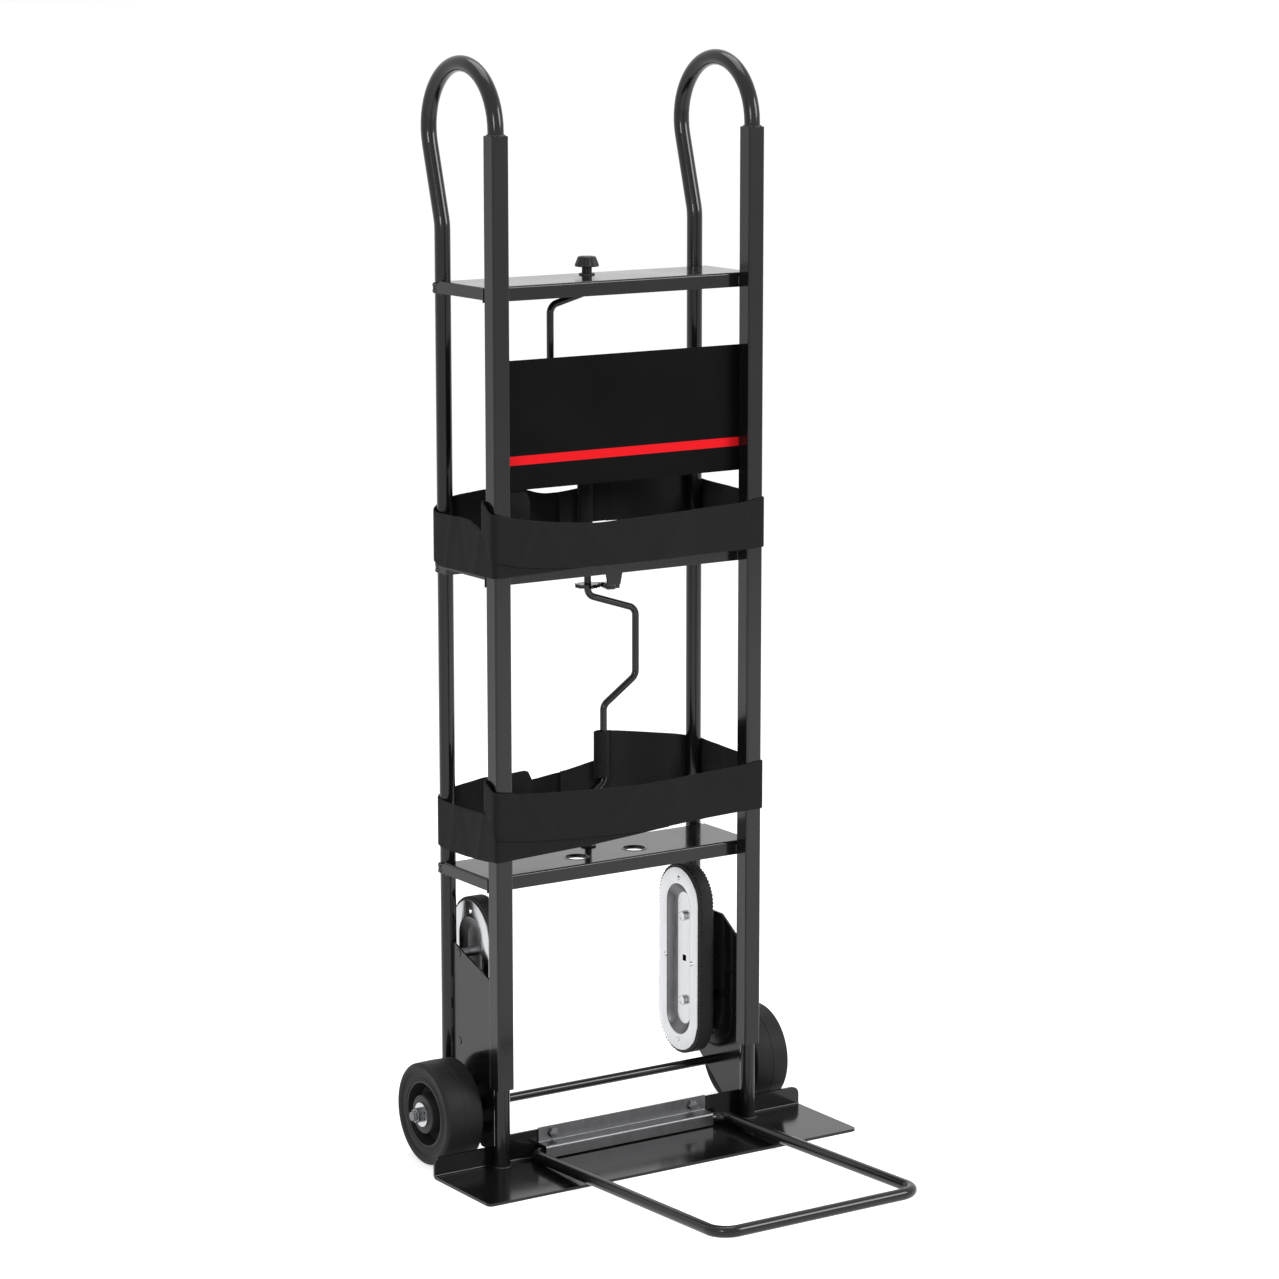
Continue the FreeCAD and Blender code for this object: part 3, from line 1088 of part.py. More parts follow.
def main():
    """Builds every sub-part, checks the document and writes one file for each sub-part."""
    nodes = side_tubes() + front_rails() + shelves() + [shelf_rivets()] + header_panel() + side_plates()
    nodes += toe_plate() + nose_hinge() + nose_loop() + axle_pieces() + wheels() + winder_shaft()
    nodes += winder_pieces() + pawl_bracket() + pawl_pieces() + straps() + climbers()
    doc.recompute()
    for item in doc.Objects:
        if "Invalid" in item.State or "Error" in item.State:
            raise RuntimeError(f"{item.Label} failed: {item.State}")
    for node in nodes:
        if node.Shape.isNull() or not node.Shape.isValid():
            raise RuntimeError(f"{node.Label} has no valid shape")
    os.makedirs("parts", exist_ok=True)
    for node in nodes:
        node.Shape.exportStep(f"parts/{node.Label}.step")
    print(f"{len(nodes)} sub-parts written")


main()
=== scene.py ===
"""Finishes an appliance hand truck: webbing, tyres, belts, welds, fasteners, paint and a studio."""
import json
import math

import bpy
import numpy as np
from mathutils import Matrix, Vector


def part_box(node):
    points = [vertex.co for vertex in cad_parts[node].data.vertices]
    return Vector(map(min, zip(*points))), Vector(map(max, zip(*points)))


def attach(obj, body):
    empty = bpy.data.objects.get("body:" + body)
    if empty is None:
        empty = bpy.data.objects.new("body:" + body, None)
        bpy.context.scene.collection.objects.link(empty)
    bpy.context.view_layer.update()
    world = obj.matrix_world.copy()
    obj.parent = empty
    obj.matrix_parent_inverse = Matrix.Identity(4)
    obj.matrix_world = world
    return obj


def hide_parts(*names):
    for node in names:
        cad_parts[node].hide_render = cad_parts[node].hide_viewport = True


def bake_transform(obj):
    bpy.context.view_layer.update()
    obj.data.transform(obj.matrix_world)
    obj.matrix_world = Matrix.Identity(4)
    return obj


bl_info = {
    "name": "Appliance hand truck",
    "version": (1, 0, 0),
    "blender": (4, 5, 0),
    "location": "View3D > Sidebar > Hand truck",
    "description": "Adds the soft and fine pieces of an appliance hand truck to its solid model",
    "category": "Object",
}

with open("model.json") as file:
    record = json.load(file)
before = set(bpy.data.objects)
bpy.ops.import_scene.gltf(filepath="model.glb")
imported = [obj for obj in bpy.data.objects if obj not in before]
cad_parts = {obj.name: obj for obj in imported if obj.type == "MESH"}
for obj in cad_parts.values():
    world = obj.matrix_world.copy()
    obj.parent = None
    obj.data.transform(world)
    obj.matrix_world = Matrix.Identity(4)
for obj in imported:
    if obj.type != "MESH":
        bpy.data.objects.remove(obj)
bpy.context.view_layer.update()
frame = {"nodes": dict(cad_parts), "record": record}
NODES = frame["nodes"]
MM = 0.001
TURN = 2 * math.pi
# The sides, with the sign of their x.
SIDES = {"left": -1, "right": 1}


def linear(code):
    """Linear red, green and blue of an sRGB hex value."""
    channels = np.array([int(code[i:i + 2], 16) for i in (1, 3, 5)]) / 255
    return tuple(np.where(channels <= 0.04045, channels / 12.92, ((channels + 0.055) / 1.055) ** 2.4).tolist())


def length_property(name, about, millimetres):
    """A length that the user may change."""
    return bpy.props.FloatProperty(name=name, description=about, default=millimetres * MM, min=0.0, unit="LENGTH",
                                   precision=4)


def colour_property(name, about, code):
    """A colour that the user may change."""
    return bpy.props.FloatVectorProperty(name=name, description=about, default=linear(code), size=3, min=0.0, max=1.0,
                                         subtype="COLOR")


class StrapSettings(bpy.types.PropertyGroup):
    """Sizes and colour of the webbing."""
    sheet: length_property("Thickness", "Thickness of the webbing", 2.5)
    rib: length_property("Rib", "Spacing of the woven ribs, drawn coarser than the real 1.2 mm so that it shows", 3.2)
    colour: colour_property("Webbing", "Black polyester webbing", "#18181a")


class WheelSettings(bpy.types.PropertyGroup):
    """Sizes and colours of the wheels and belts."""
    crown: length_property("Crown", "Rise of the tread's middle over its edges", 0.6)
    groove: length_property("Groove", "Depth of the moulded rings in the sidewall", 0.7)
    lug_pitch: length_property("Lug pitch", "Spacing of the notches in the belt's edges", 5.2)
    lug_depth: length_property("Lug depth", "Depth of those notches", 1.8)
    rubber: colour_property("Tyre", "Moulded black rubber", "#161617")
    plastic: colour_property("Hub", "Moulded black plastic", "#232325")


class PaintSettings(bpy.types.PropertyGroup):
    """Colours of the paint and the plating, and the size of the weld beads."""
    enamel: colour_property("Enamel", "Gloss black enamel of the frame", "#0f0f10")
    panel: colour_property("Panel", "Black enamel of the header panel", "#030304")
    stripe: colour_property("Stripe", "Plain stripe across the header panel", "#ed1c24")
    zinc: colour_property("Zinc", "Bright zinc plate", "#d6d7da")
    bead: length_property("Weld bead", "Half width of a weld bead", 2.6)
    ripple: length_property("Weld ripple", "Spacing of the ripples along a weld bead", 4.2)


GROUPS = (("truck_strap", StrapSettings), ("truck_wheel", WheelSettings), ("truck_paint", PaintSettings))


# Plain geometry on arrays.

def box_of(node):
    """Lowest and highest corner of a CAD node, as arrays."""
    low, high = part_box(node)
    return np.array(low), np.array(high)


def skin(grid, closed_rows=False, closed_columns=False, caps=False):
    """Points, cells and caps of a grid: each cell is a four-sided face, and caps close the two end rows."""
    rows, columns = grid.shape[:2]
    index = np.arange(rows * columns).reshape(rows, columns)
    ends = np.stack([index[0], index[-1, ::-1]])[:2 if caps else 0]
    if closed_rows:
        index = np.vstack([index, index[:1]])
    if closed_columns:
        index = np.hstack([index, index[:, :1]])
    corners = (index[:-1, :-1], index[1:, :-1], index[1:, 1:], index[:-1, 1:])
    return grid.reshape(-1, 3), np.stack([corner.ravel() for corner in corners], axis=1), ends


def ring(grid):
    """The skin of a grid whose rows and columns both run round."""
    return skin(grid, closed_rows=True, closed_columns=True)


def capped(grid):
    """The skin of a grid whose columns run round, with its first and last row closed."""
    return skin(grid, closed_columns=True, caps=True)


def sixfold_volume(points, faces):
    """Six times the volume between faces and the origin: the sum of the triple products of their fans' triangles."""
    a, b, c = points[faces[:, :1]], points[faces[:, 1:-1]], points[faces[:, 2:]]
    return (a * np.cross(b, c)).sum()


def outward(points, *groups):
    """Groups of faces, turned round if the volume that they close together is negative."""
    volume = sum(sixfold_volume(points, faces) for faces in groups)
    return groups if volume > 0 else [faces[:, ::-1] for faces in groups]


def piece(name, skins, material, body, coordinates=None, sharp=35):
    """One object of several closed skins, smooth but for edges sharper than an angle, on a body if one is named."""
    points, faces, first = [], [], 0
    for vertices, cells, ends in skins:
        points.append(vertices)
        for group in outward(vertices, cells, ends):
            faces += (group + first).tolist()
        first += len(vertices)
    mesh = bpy.data.meshes.new(name)
    mesh.from_pydata(np.concatenate(points).tolist(), [], faces)
    if coordinates is not None:
        layer = mesh.uv_layers.new(name="weave")
        order = np.empty(len(mesh.loops), dtype=np.int32)
        mesh.loops.foreach_get("vertex_index", order)
        layer.data.foreach_set("uv", coordinates[order].astype(np.float32).ravel())
    mesh.polygons.foreach_set("use_smooth", np.ones(len(mesh.polygons), dtype=bool))
    mesh.set_sharp_from_angle(angle=math.radians(sharp))
    mesh.materials.append(material)
    made = bpy.data.objects.new(name, mesh)
    bpy.context.scene.collection.objects.link(made)
    if body:
        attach(made, body)
    return made


# The finishes by name, filled by make_finishes.
FINISHES = {}


def stand_in(name, skins, finish, body, nodes, sharp=35):
    """A piece in place of CAD nodes, which are hidden, in the finish of the given name."""
    made = piece(name, skins, FINISHES[finish], body, sharp=sharp)
    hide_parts(*nodes)
    return made


# Which of (sideways, up, along) becomes x, y and z for a shape about each axis.
AXIS_ORDER = {"x": (2, 0, 1), "y": (1, 2, 0), "z": (0, 1, 2)}


def about(axis, place, radius, angle, along):
    """Points at a radius and an angle about an axis through a place, and some way along it."""
    parts = (radius * np.cos(angle), radius * np.sin(angle), along + 0 * angle)
    return np.stack([parts[i] for i in AXIS_ORDER[axis]], axis=-1) + np.asarray(place)


def turned(profile, centre, axis, segments):
    """A grid turned about an axis: a profile of (radius, along) rows at each of the segments' angles."""
    angle = np.linspace(0, TURN, segments, endpoint=False)[:, None]
    return about(axis, centre, profile[None, :, 0], angle, profile[None, :, 1])


def rounded(corners, steps=5):
    """A closed profile of (x, y, radius) corners, each eased by a parabola between the points where an arc of that
    radius would touch its two sides."""
    corners = np.asarray(corners, dtype=float)
    here, radius = corners[:, :2], corners[:, 2:3]
    back = np.roll(here, 1, axis=0) - here
    ahead = np.roll(here, -1, axis=0) - here
    back /= np.linalg.norm(back, axis=1, keepdims=True)
    ahead /= np.linalg.norm(ahead, axis=1, keepdims=True)
    half = np.arccos(np.clip((back * ahead).sum(axis=1, keepdims=True), -1, 1)) / 2
    reach = radius / np.tan(half)
    t = np.linspace(0, 1, steps)[None, :, None]
    first, last = (here + back * reach)[:, None], (here + ahead * reach)[:, None]
    curve = (1 - t) ** 2 * first + 2 * t * (1 - t) * here[:, None] + t ** 2 * last
    return curve.reshape(-1, 2)


def mirrored(half):
    """Corners of (radius, along, bend) on one side of a middle plane, and then their mirror image."""
    return half + [(radius, -along, bend) for radius, along, bend in reversed(half)]


# Webbing.

def straight(start, end, step=5 * MM):
    """Evenly spaced plan points of a straight run."""
    start, end = np.asarray(start, dtype=float), np.asarray(end, dtype=float)
    count = max(3, int(np.linalg.norm(end - start) / step) + 1)
    return start + (end - start) * np.linspace(0, 1, count)[:, None]


def arc(centre, radius, first, last, count=14):
    """Evenly spaced plan points of an arc between two angles in degrees."""
    angle = np.radians(np.linspace(first, last, count))[:, None]
    return np.asarray(centre) + radius * np.hstack([np.cos(angle), np.sin(angle)])


def route(runs):
    """Plan points of runs laid end to end, with each point's place as run number plus share of the run."""
    places = [number + np.linspace(0, 1, len(run)) for number, run in enumerate(runs)]
    points = np.concatenate([runs[0]] + [run[1:] for run in runs[1:]])
    return points, np.concatenate([places[0]] + [place[1:] for place in places[1:]])


def eased(values, along, spread=9 * MM):
    """Values averaged over their neighbours along the run, with weights that fall off as a bell curve."""
    weight = np.exp(-0.5 * ((along[:, None] - along[None, :]) / spread) ** 2)
    return weight @ values / weight.sum(axis=1)


def section(sheet, across=17, edge=5):
    """Closed section of webbing: offset from its middle plane, share of its half width, and edge overhang."""
    face = np.linspace(-1, 1, across)
    bend = np.linspace(0, math.pi, edge + 2)[1:-1]
    offset = np.concatenate([np.full(across, 1.0), np.cos(bend), np.full(across, -1.0), -np.cos(bend)]) * sheet / 2
    share = np.concatenate([face, np.ones(edge), face[::-1], -np.ones(edge)])
    over = np.concatenate([np.zeros(across), np.sin(bend), np.zeros(across), -np.sin(bend)]) * sheet / 2
    return offset, share, over


# How much of an end's rounding its lower corner gets.
LOWER_ROUND = 0.8


def webbing(runs, keys, sheet, turn, folds=(), round_end=0.0, wave=None):
    """A closed band along a plan route: at each point the section stands upright between a lower and an upper edge.

    The edges come from keys of (place, lower, upper), eased along the run. Folds are slanting ridges, each a bell
    curve of (place, height, width, slant) that moves the band out along its normal. A wave moves it out by place. The
    results are the grid, its flat coordinates, and each row's distance and place along the route.
    """
    points, place = route(runs)
    steps = np.linalg.norm(np.diff(points, axis=0), axis=1)
    along = np.concatenate([[0], np.cumsum(steps)])
    tangent = np.gradient(points, along, axis=0)
    tangent /= np.linalg.norm(tangent, axis=1, keepdims=True)
    normal = turn * np.stack([-tangent[:, 1], tangent[:, 0]], axis=1)
    keys = np.asarray(keys, dtype=float)
    low = eased(np.interp(place, keys[:, 0], keys[:, 1] * MM), along)
    high = eased(np.interp(place, keys[:, 0], keys[:, 2] * MM), along)
    if round_end:
        past = np.clip((along - along[-1] + round_end) / round_end, 0, 1)
        drop = round_end * (1 - np.sqrt(np.clip(1 - past ** 2, 0, 1)))
        low, high = low + drop * LOWER_ROUND, high - drop
    offset, share, over = section(sheet)
    middle, half = (low + high) / 2, np.maximum((high - low) / 2 - sheet / 2, sheet / 2)
    across = half[:, None] * share[None, :] + over[None, :]
    out = np.zeros_like(across)
    for where, height, width, slant in folds:
        start = np.interp(where, place, along)
        out += height * MM * np.exp(-((along[:, None] - start - slant * across) / (width * MM)) ** 2)
    if wave is not None:
        out += wave(place)[:, None] * MM
    reach = offset[None, :] + out
    grid = np.empty(across.shape + (3,))
    grid[..., :2] = points[:, None] + normal[:, None] * reach[..., None]
    grid[..., 2] = middle[:, None] + across
    coordinates = np.stack([along[:, None] + 0 * across, across], axis=-1)
    return grid, coordinates, along, place


# Places that the webbing goes round, read from the frame.
RAIL_LOW, RAIL_HIGH = box_of("front_rail_right")
RAIL_X = (RAIL_LOW[0] + RAIL_HIGH[0]) / 2
RAIL_HALF = (RAIL_HIGH[0] - RAIL_LOW[0]) / 2
RAIL_ROUND = 3 * MM
RAIL_INSET = RAIL_HALF - RAIL_ROUND
TUBE_RADIUS = 11 * MM
WELD_GAP = 0.2 * MM
LEG_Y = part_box("side_plate_right")[1][1] + WELD_GAP + TUBE_RADIUS
WINDER_Y = (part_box("winder_clip")[0][1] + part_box("winder_clip")[1][1]) / 2
# The webbing's width, its distance from what it lies on, and where its runs begin beside the winder's axis.
STRAP_WIDTH, SEAT, STRAP_START = 67 * MM, 0.3 * MM, 38 * MM
# The lap at the front: where the outer layer starts to rise over the inner one, how far it takes, and the inner end.
LAP_START, LAP_LENGTH, HIDDEN_END = 110 * MM, 55 * MM, 60 * MM
# The outer layer's free end: how far it reaches in behind the left rail, its distance from it, and its round corners.
FREE_END, FREE_GAP, FREE_ROUND = 62 * MM, 2 * MM, 13 * MM


def side_runs(leg_gap, rail_gap, sheet):
    """Right-hand plan runs: winder to rear leg, round the leg, forward, and round the rail's front corner."""
    leg = np.array([RAIL_X, LEG_Y])
    axis = np.array([0.0, WINDER_Y])
    radius = TUBE_RADIUS + leg_gap + sheet / 2
    away = leg - axis
    lean = math.atan2(away[1], away[0]) + math.asin(radius / np.linalg.norm(away))
    start = axis + STRAP_START * np.array([math.cos(lean), math.sin(lean)])
    seat = leg + radius * np.array([-math.sin(lean), math.cos(lean)])
    corner = np.array([RAIL_X + RAIL_INSET, -RAIL_INSET])
    bend = RAIL_ROUND + rail_gap + sheet / 2
    return [straight(start, seat), arc(leg, radius, 90 + math.degrees(lean), 0),
            straight(leg + (radius, 0), corner + (bend, 0)), arc(corner, bend, 0, -90)]


def outer_runs(sheet, layer):
    """The outer layer: right-hand runs, the front, round the left rail's outside, and in behind that rail."""
    first = side_runs(SEAT, SEAT, sheet)
    bend = RAIL_ROUND + SEAT + sheet / 2 + layer
    front, rear = np.array([-RAIL_X - RAIL_INSET, -RAIL_INSET]), np.array([-RAIL_X - RAIL_INSET, RAIL_INSET])
    across = straight(first[-1][-1], front - (0, bend))
    lift = np.clip((LAP_START - across[:, 0]) / LAP_LENGTH, 0, 1)
    across[:, 1] = first[-1][-1][1] - layer * lift * lift * (3 - 2 * lift)
    tip = np.array([-RAIL_X + FREE_END, RAIL_INSET + bend + FREE_GAP])
    return first + [across, arc(front, bend, -90, -180), straight(front - (bend, 0), rear - (bend, 0)),
                    arc(rear, bend, 180, 90), straight(rear + (0, bend), tip)]


def inner_runs(leg_gap, rail_gap, sheet):
    """The inner layer: the mirror image of the right-hand runs, and the front as far as its hidden end."""
    runs = [run * (-1, 1) for run in side_runs(leg_gap, rail_gap, sheet)]
    return runs + [straight(runs[-1][-1], (HIDDEN_END, runs[-1][-1][1]))]


def front_place(x):
    """Place of a sideways position, in millimetres, on the outer layer's front run."""
    span = RAIL_X + RAIL_INSET
    return 4 + (span - x * MM) / (2 * span)


def hidden_place(x):
    """Place of a sideways position, in millimetres, on the inner layer's front run."""
    span = RAIL_X + RAIL_INSET
    return 4 + (x * MM + span) / (HIDDEN_END + span)


# Lower and upper edge of each layer in millimetres, by place along its route.
UPPER_OUTER = [(0, 873.5, 940.5), (0.5, 865, 932), (0.9, 857, 924.5), (1.2, 851, 918.5), (1.6, 849, 916),
               (2, 848, 914.5), (2.6, 845, 911.8), (3, 838, 909), (4, 834.8, 905), (front_place(179), 835.3, 901.8),
               (front_place(45), 834.3, 897.6), (front_place(-62), 834.6, 894.9), (front_place(-130), 838, 901.5),
               (front_place(-189), 845, 910.6), (5, 851, 917), (6, 857, 920), (7, 888, 930), (8, 892, 937),
               (9, 893, 942)]
UPPER_INNER = [(0, 853.5, 920.5), (0.16, 850.5, 917.5), (0.34, 861, 928.3), (0.65, 861, 928.3), (0.92, 855, 921.7),
               (1.2, 847, 914), (1.7, 833, 903), (2, 829, 902.5), (2.6, 830.6, 905), (3, 831, 884),
               (3.5, 831.1, 884), (4, 831.5, 884), (hidden_place(-150), 832.5, 884), (hidden_place(-44), 835.3, 888),
               (5, 838, 888)]
LOWER_OUTER = [(0, 484, 574), (0.3, 480, 564.5), (0.6, 478, 554.5), (1, 474, 541), (1.6, 471, 537.3), (2, 469, 536),
               (2.7, 464.5, 531.8), (3, 461.5, 531), (4, 460.7, 530), (front_place(177), 460.7, 527),
               (front_place(112), 458.5, 524.8), (front_place(12), 454, 521), (front_place(-87), 458.6, 525.6),
               (front_place(-160), 463.5, 530), (front_place(-192), 467, 533.6), (5, 469, 536), (6, 475, 539),
               (7, 508, 548), (8, 510, 552), (9, 510, 556)]
LOWER_INNER = [(0, 457, 524), (0.18, 449, 516.4), (0.31, 447, 514.3), (0.45, 449, 516), (0.63, 457, 524),
               (0.9, 447, 513.6), (1.3, 438, 506), (1.8, 432, 500), (2, 431.5, 499.5), (2.5, 433, 500),
               (2.9, 437, 503), (3, 438, 503), (3.5, 440, 503.5), (4, 439.7, 505), (hidden_place(-67), 445.4, 510),
               (hidden_place(12), 451, 514), (5, 455, 516)]
# Folds: place along the route, height and width in millimetres, and slant.
UPPER_FOLDS = ((2.3, 0.7, 9, 0.5), (4.35, 0.6, 10, -0.9), (4.62, 0.9, 8, 1.1), (4.8, 0.6, 7, 0.6),
               (4.9, 0.8, 5, -0.4))
LOWER_FOLDS = ((2.4, 0.7, 9, -0.5), (4.3, 0.6, 12, 0.8), (4.55, 0.7, 9, -1.0), (4.86, 0.9, 6, 0.7))
SLACK_FOLDS = ((0.2, 2.4, 12, 0.8), (0.45, -2.0, 14, -0.9), (0.7, 2.2, 11, 0.7), (2.25, 0.7, 6, 0.2),
               (2.5, -0.6, 7, -0.3), (2.75, 0.8, 6, 0.25))
# Greatest bow of the inner layer's rear run, in millimetres.
SLACK_BOW = 3.5


def slack(place):
    """Loose bow of the inner layer's rear run: two sine waves that die out at the ends of the run."""
    share = np.clip(place, 0, 1)
    return SLACK_BOW * np.sin(2 * TURN * share) * np.sin(math.pi * share)


def strap_pair(name, outer_keys, inner_keys, folds, leg_gap, rail_gap, sheet, material):
    """Outer and inner layer of one strap, each with its rear run as a piece of its own."""
    outer, inner = outer_runs(sheet, sheet + rail_gap), inner_runs(leg_gap, rail_gap, sheet)
    laid = (("outer", "side_tube_right", outer, outer_keys, 1, folds, FREE_ROUND, None),
            ("inner", "side_tube_left", inner, inner_keys, -1, SLACK_FOLDS, 0.0, slack))
    for label, leg, runs, keys, turn, ridges, round_end, wave in laid:
        grid, coordinates, along, place = webbing(runs, keys, sheet, turn, ridges, round_end, wave)
        # The rear run ends where the strap meets the rear leg, at place 1.
        seam = int(np.searchsorted(place, 1.0))
        made = piece(f"{name}_strap_{label}", [capped(grid[seam:])], material, "frame",
                     coordinates[seam:].reshape(-1, 2))
        if label == "outer":
            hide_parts(f"{name}_strap")
        made = piece(f"{name}_strap_{label}_rear", [capped(grid[:seam + 1])], material, None,
                     coordinates[:seam + 1].reshape(-1, 2))
        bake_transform(made)


# The sewn loop: half width, half depth, and how far its middle lies left of the rod. The tails lie behind the rod.
LOOP_WIDE, LOOP_DEEP, LOOP_ASIDE, LOOP_SEGMENTS = 10.5 * MM, 6.4 * MM, 4 * MM, 40
TAIL_BEHIND, TAIL_STEP = 6.7 * MM, 3 * MM


def strap_sewn_end(name, rod_x, tails, loop, sheet, material):
    """Sewn end on the winder: flat tails behind the rod that lap under both runs, and a loop round the rod.

    A tail is (start, end, lower and upper edge at the start, the same at the end), and the loop is its lower and
    upper edge, all in millimetres. The loop is an ellipse that touches the rod's front, back and right side.
    """
    rear = WINDER_Y + TAIL_BEHIND
    skins, maps, length = [], [], 0.0
    for start, end, first, last in tails:
        run = straight((start * MM, rear), (end * MM, rear), TAIL_STEP)
        grid, coordinates, along, _ = webbing([run], [(0, *first), (1, *last)], sheet, 1)
        skins.append(capped(grid))
        maps.append(coordinates.reshape(-1, 2))
        length += along[-1]
    offset, share, over = section(sheet)
    angle = np.linspace(0, TURN, LOOP_SEGMENTS, endpoint=False)[:, None]
    middle, half = sum(loop) / 2 * MM, (loop[1] - loop[0]) / 2 * MM - sheet / 2
    height = half * share + over + middle
    grid = np.stack([rod_x - LOOP_ASIDE + (LOOP_WIDE + offset[None, :]) * np.cos(angle),
                     WINDER_Y + (LOOP_DEEP + offset[None, :]) * np.sin(angle), height + 0 * angle], axis=-1)
    around = math.pi * (LOOP_WIDE + LOOP_DEEP)
    skins.append(ring(grid))
    maps.append(np.stack([around * angle / TURN + 0 * height, height - middle + 0 * angle], axis=-1).reshape(-1, 2))
    made = piece(f"{name}_strap_sewn_end", skins, material, "winder", np.concatenate(maps))
    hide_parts(f"{name}_strap_end")


# Materials.

def add_node(tree, kind, inputs=None, **settings):
    """Adds a node with its settings, and fills its inputs with values or links."""
    made = tree.nodes.new(kind)
    for name, setting in settings.items():
        setattr(made, name, setting)
    for name, given in (inputs or {}).items():
        if isinstance(given, bpy.types.NodeSocket):
            tree.links.new(given, made.inputs[name])
        else:
            made.inputs[name].default_value = given
    return made


def bare_tree(owner):
    """The emptied node tree of a material or a world."""
    owner.use_nodes = True
    owner.node_tree.nodes.clear()
    return owner.node_tree


def shell(name, inputs):
    """A new material with one principled shader, its Object coordinates, and the shader's plain values."""
    made = bpy.data.materials.new(name)
    tree = bare_tree(made)
    shader = add_node(tree, "ShaderNodeBsdfPrincipled", inputs)
    add_node(tree, "ShaderNodeOutputMaterial", {"Surface": shader.outputs["BSDF"]})
    where = add_node(tree, "ShaderNodeTexCoord").outputs["Object"]
    return made, tree, shader, where


def varied(tree, shader, where, colours, roughness, size, bump_size, bump_depth, stretch=(1, 1, 1)):
    """Links a soft change of colour and roughness over one size, and a fine bump over another, to a shader.

    The sizes and the depth are in millimetres.
    """
    drawn = add_node(tree, "ShaderNodeMapping", {"Vector": where, "Scale": stretch}).outputs["Vector"]
    cloud = add_node(tree, "ShaderNodeTexNoise", {"Vector": drawn, "Scale": 1 / (size * MM), "Detail": 3.0})
    tint = add_node(tree, "ShaderNodeMix", {0: cloud.outputs["Fac"], 6: (*colours[0], 1), 7: (*colours[1], 1)},
                    data_type="RGBA")
    gloss = add_node(tree, "ShaderNodeMapRange", {"Value": cloud.outputs["Fac"], "From Min": 0.3, "From Max": 0.7,
                                                  "To Min": roughness[0], "To Max": roughness[1]})
    grain = add_node(tree, "ShaderNodeTexNoise", {"Vector": drawn, "Scale": 1 / (bump_size * MM), "Detail": 2.0})
    relief = add_node(tree, "ShaderNodeBump", {"Height": grain.outputs["Fac"], "Strength": 1.0,
                                               "Distance": bump_depth * MM})
    tree.links.new(tint.outputs[2], shader.inputs["Base Color"])
    tree.links.new(gloss.outputs["Result"], shader.inputs["Roughness"])
    tree.links.new(relief.outputs["Normal"], shader.inputs["Normal"])


def lighter(colour, share):
    """A colour taken some way towards white."""
    return tuple(channel + (1 - channel) * share for channel in colour)


def darker(colour, share):
    """A colour with only a share of its light."""
    return tuple(channel * share for channel in colour)


def gloss_enamel(colour):
    """Baked gloss enamel on steel: near black, a clear reflection, and a faint orange peel."""
    made, tree, shader, where = shell("gloss_black_enamel", {"IOR": 1.5, "Specular IOR Level": 0.3,
                                                             "Coat Weight": 0.15, "Coat Roughness": 0.08})
    # The orange peel is about 1.5 mm across; it is drawn at 6 mm, or it wouldn't show.
    varied(tree, shader, where, (colour, lighter(colour, 0.004)), roughness=(0.13, 0.2), size=70, bump_size=6,
           bump_depth=0.006)
    return made


def panel_enamel(colour, stripe):
    """Printed satin enamel: even black with one plain stripe on the front, 12.5 mm high."""
    made, tree, shader, where = shell("satin_panel_enamel", {"IOR": 1.5, "Specular IOR Level": 0.05})
    varied(tree, shader, where, (colour, lighter(colour, 0.004)), roughness=(0.38, 0.46), size=90, bump_size=3,
           bump_depth=0.008)
    part = add_node(tree, "ShaderNodeSeparateXYZ", {"Vector": where})
    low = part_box("header_panel")[0]
    foot, rise, face = low[2] + 34 * MM, 12.5 * MM, low[1] + 0.5 * MM
    offset = add_node(tree, "ShaderNodeMath", {0: part.outputs["Z"], 1: foot + rise / 2}, operation="SUBTRACT")
    apart = add_node(tree, "ShaderNodeMath", {0: offset.outputs[0]}, operation="ABSOLUTE")
    inside = add_node(tree, "ShaderNodeMath", {0: apart.outputs[0], 1: rise / 2}, operation="LESS_THAN")
    front = add_node(tree, "ShaderNodeMath", {0: part.outputs["Y"], 1: face}, operation="LESS_THAN")
    mask = add_node(tree, "ShaderNodeMath", {0: inside.outputs[0], 1: front.outputs[0]}, operation="MULTIPLY")
    plain = shader.inputs["Base Color"].links[0].from_socket
    tint = add_node(tree, "ShaderNodeMix", {0: mask.outputs[0], 6: plain, 7: (*stripe, 1)}, data_type="RGBA")
    tree.links.new(tint.outputs[2], shader.inputs["Base Color"])
    return made


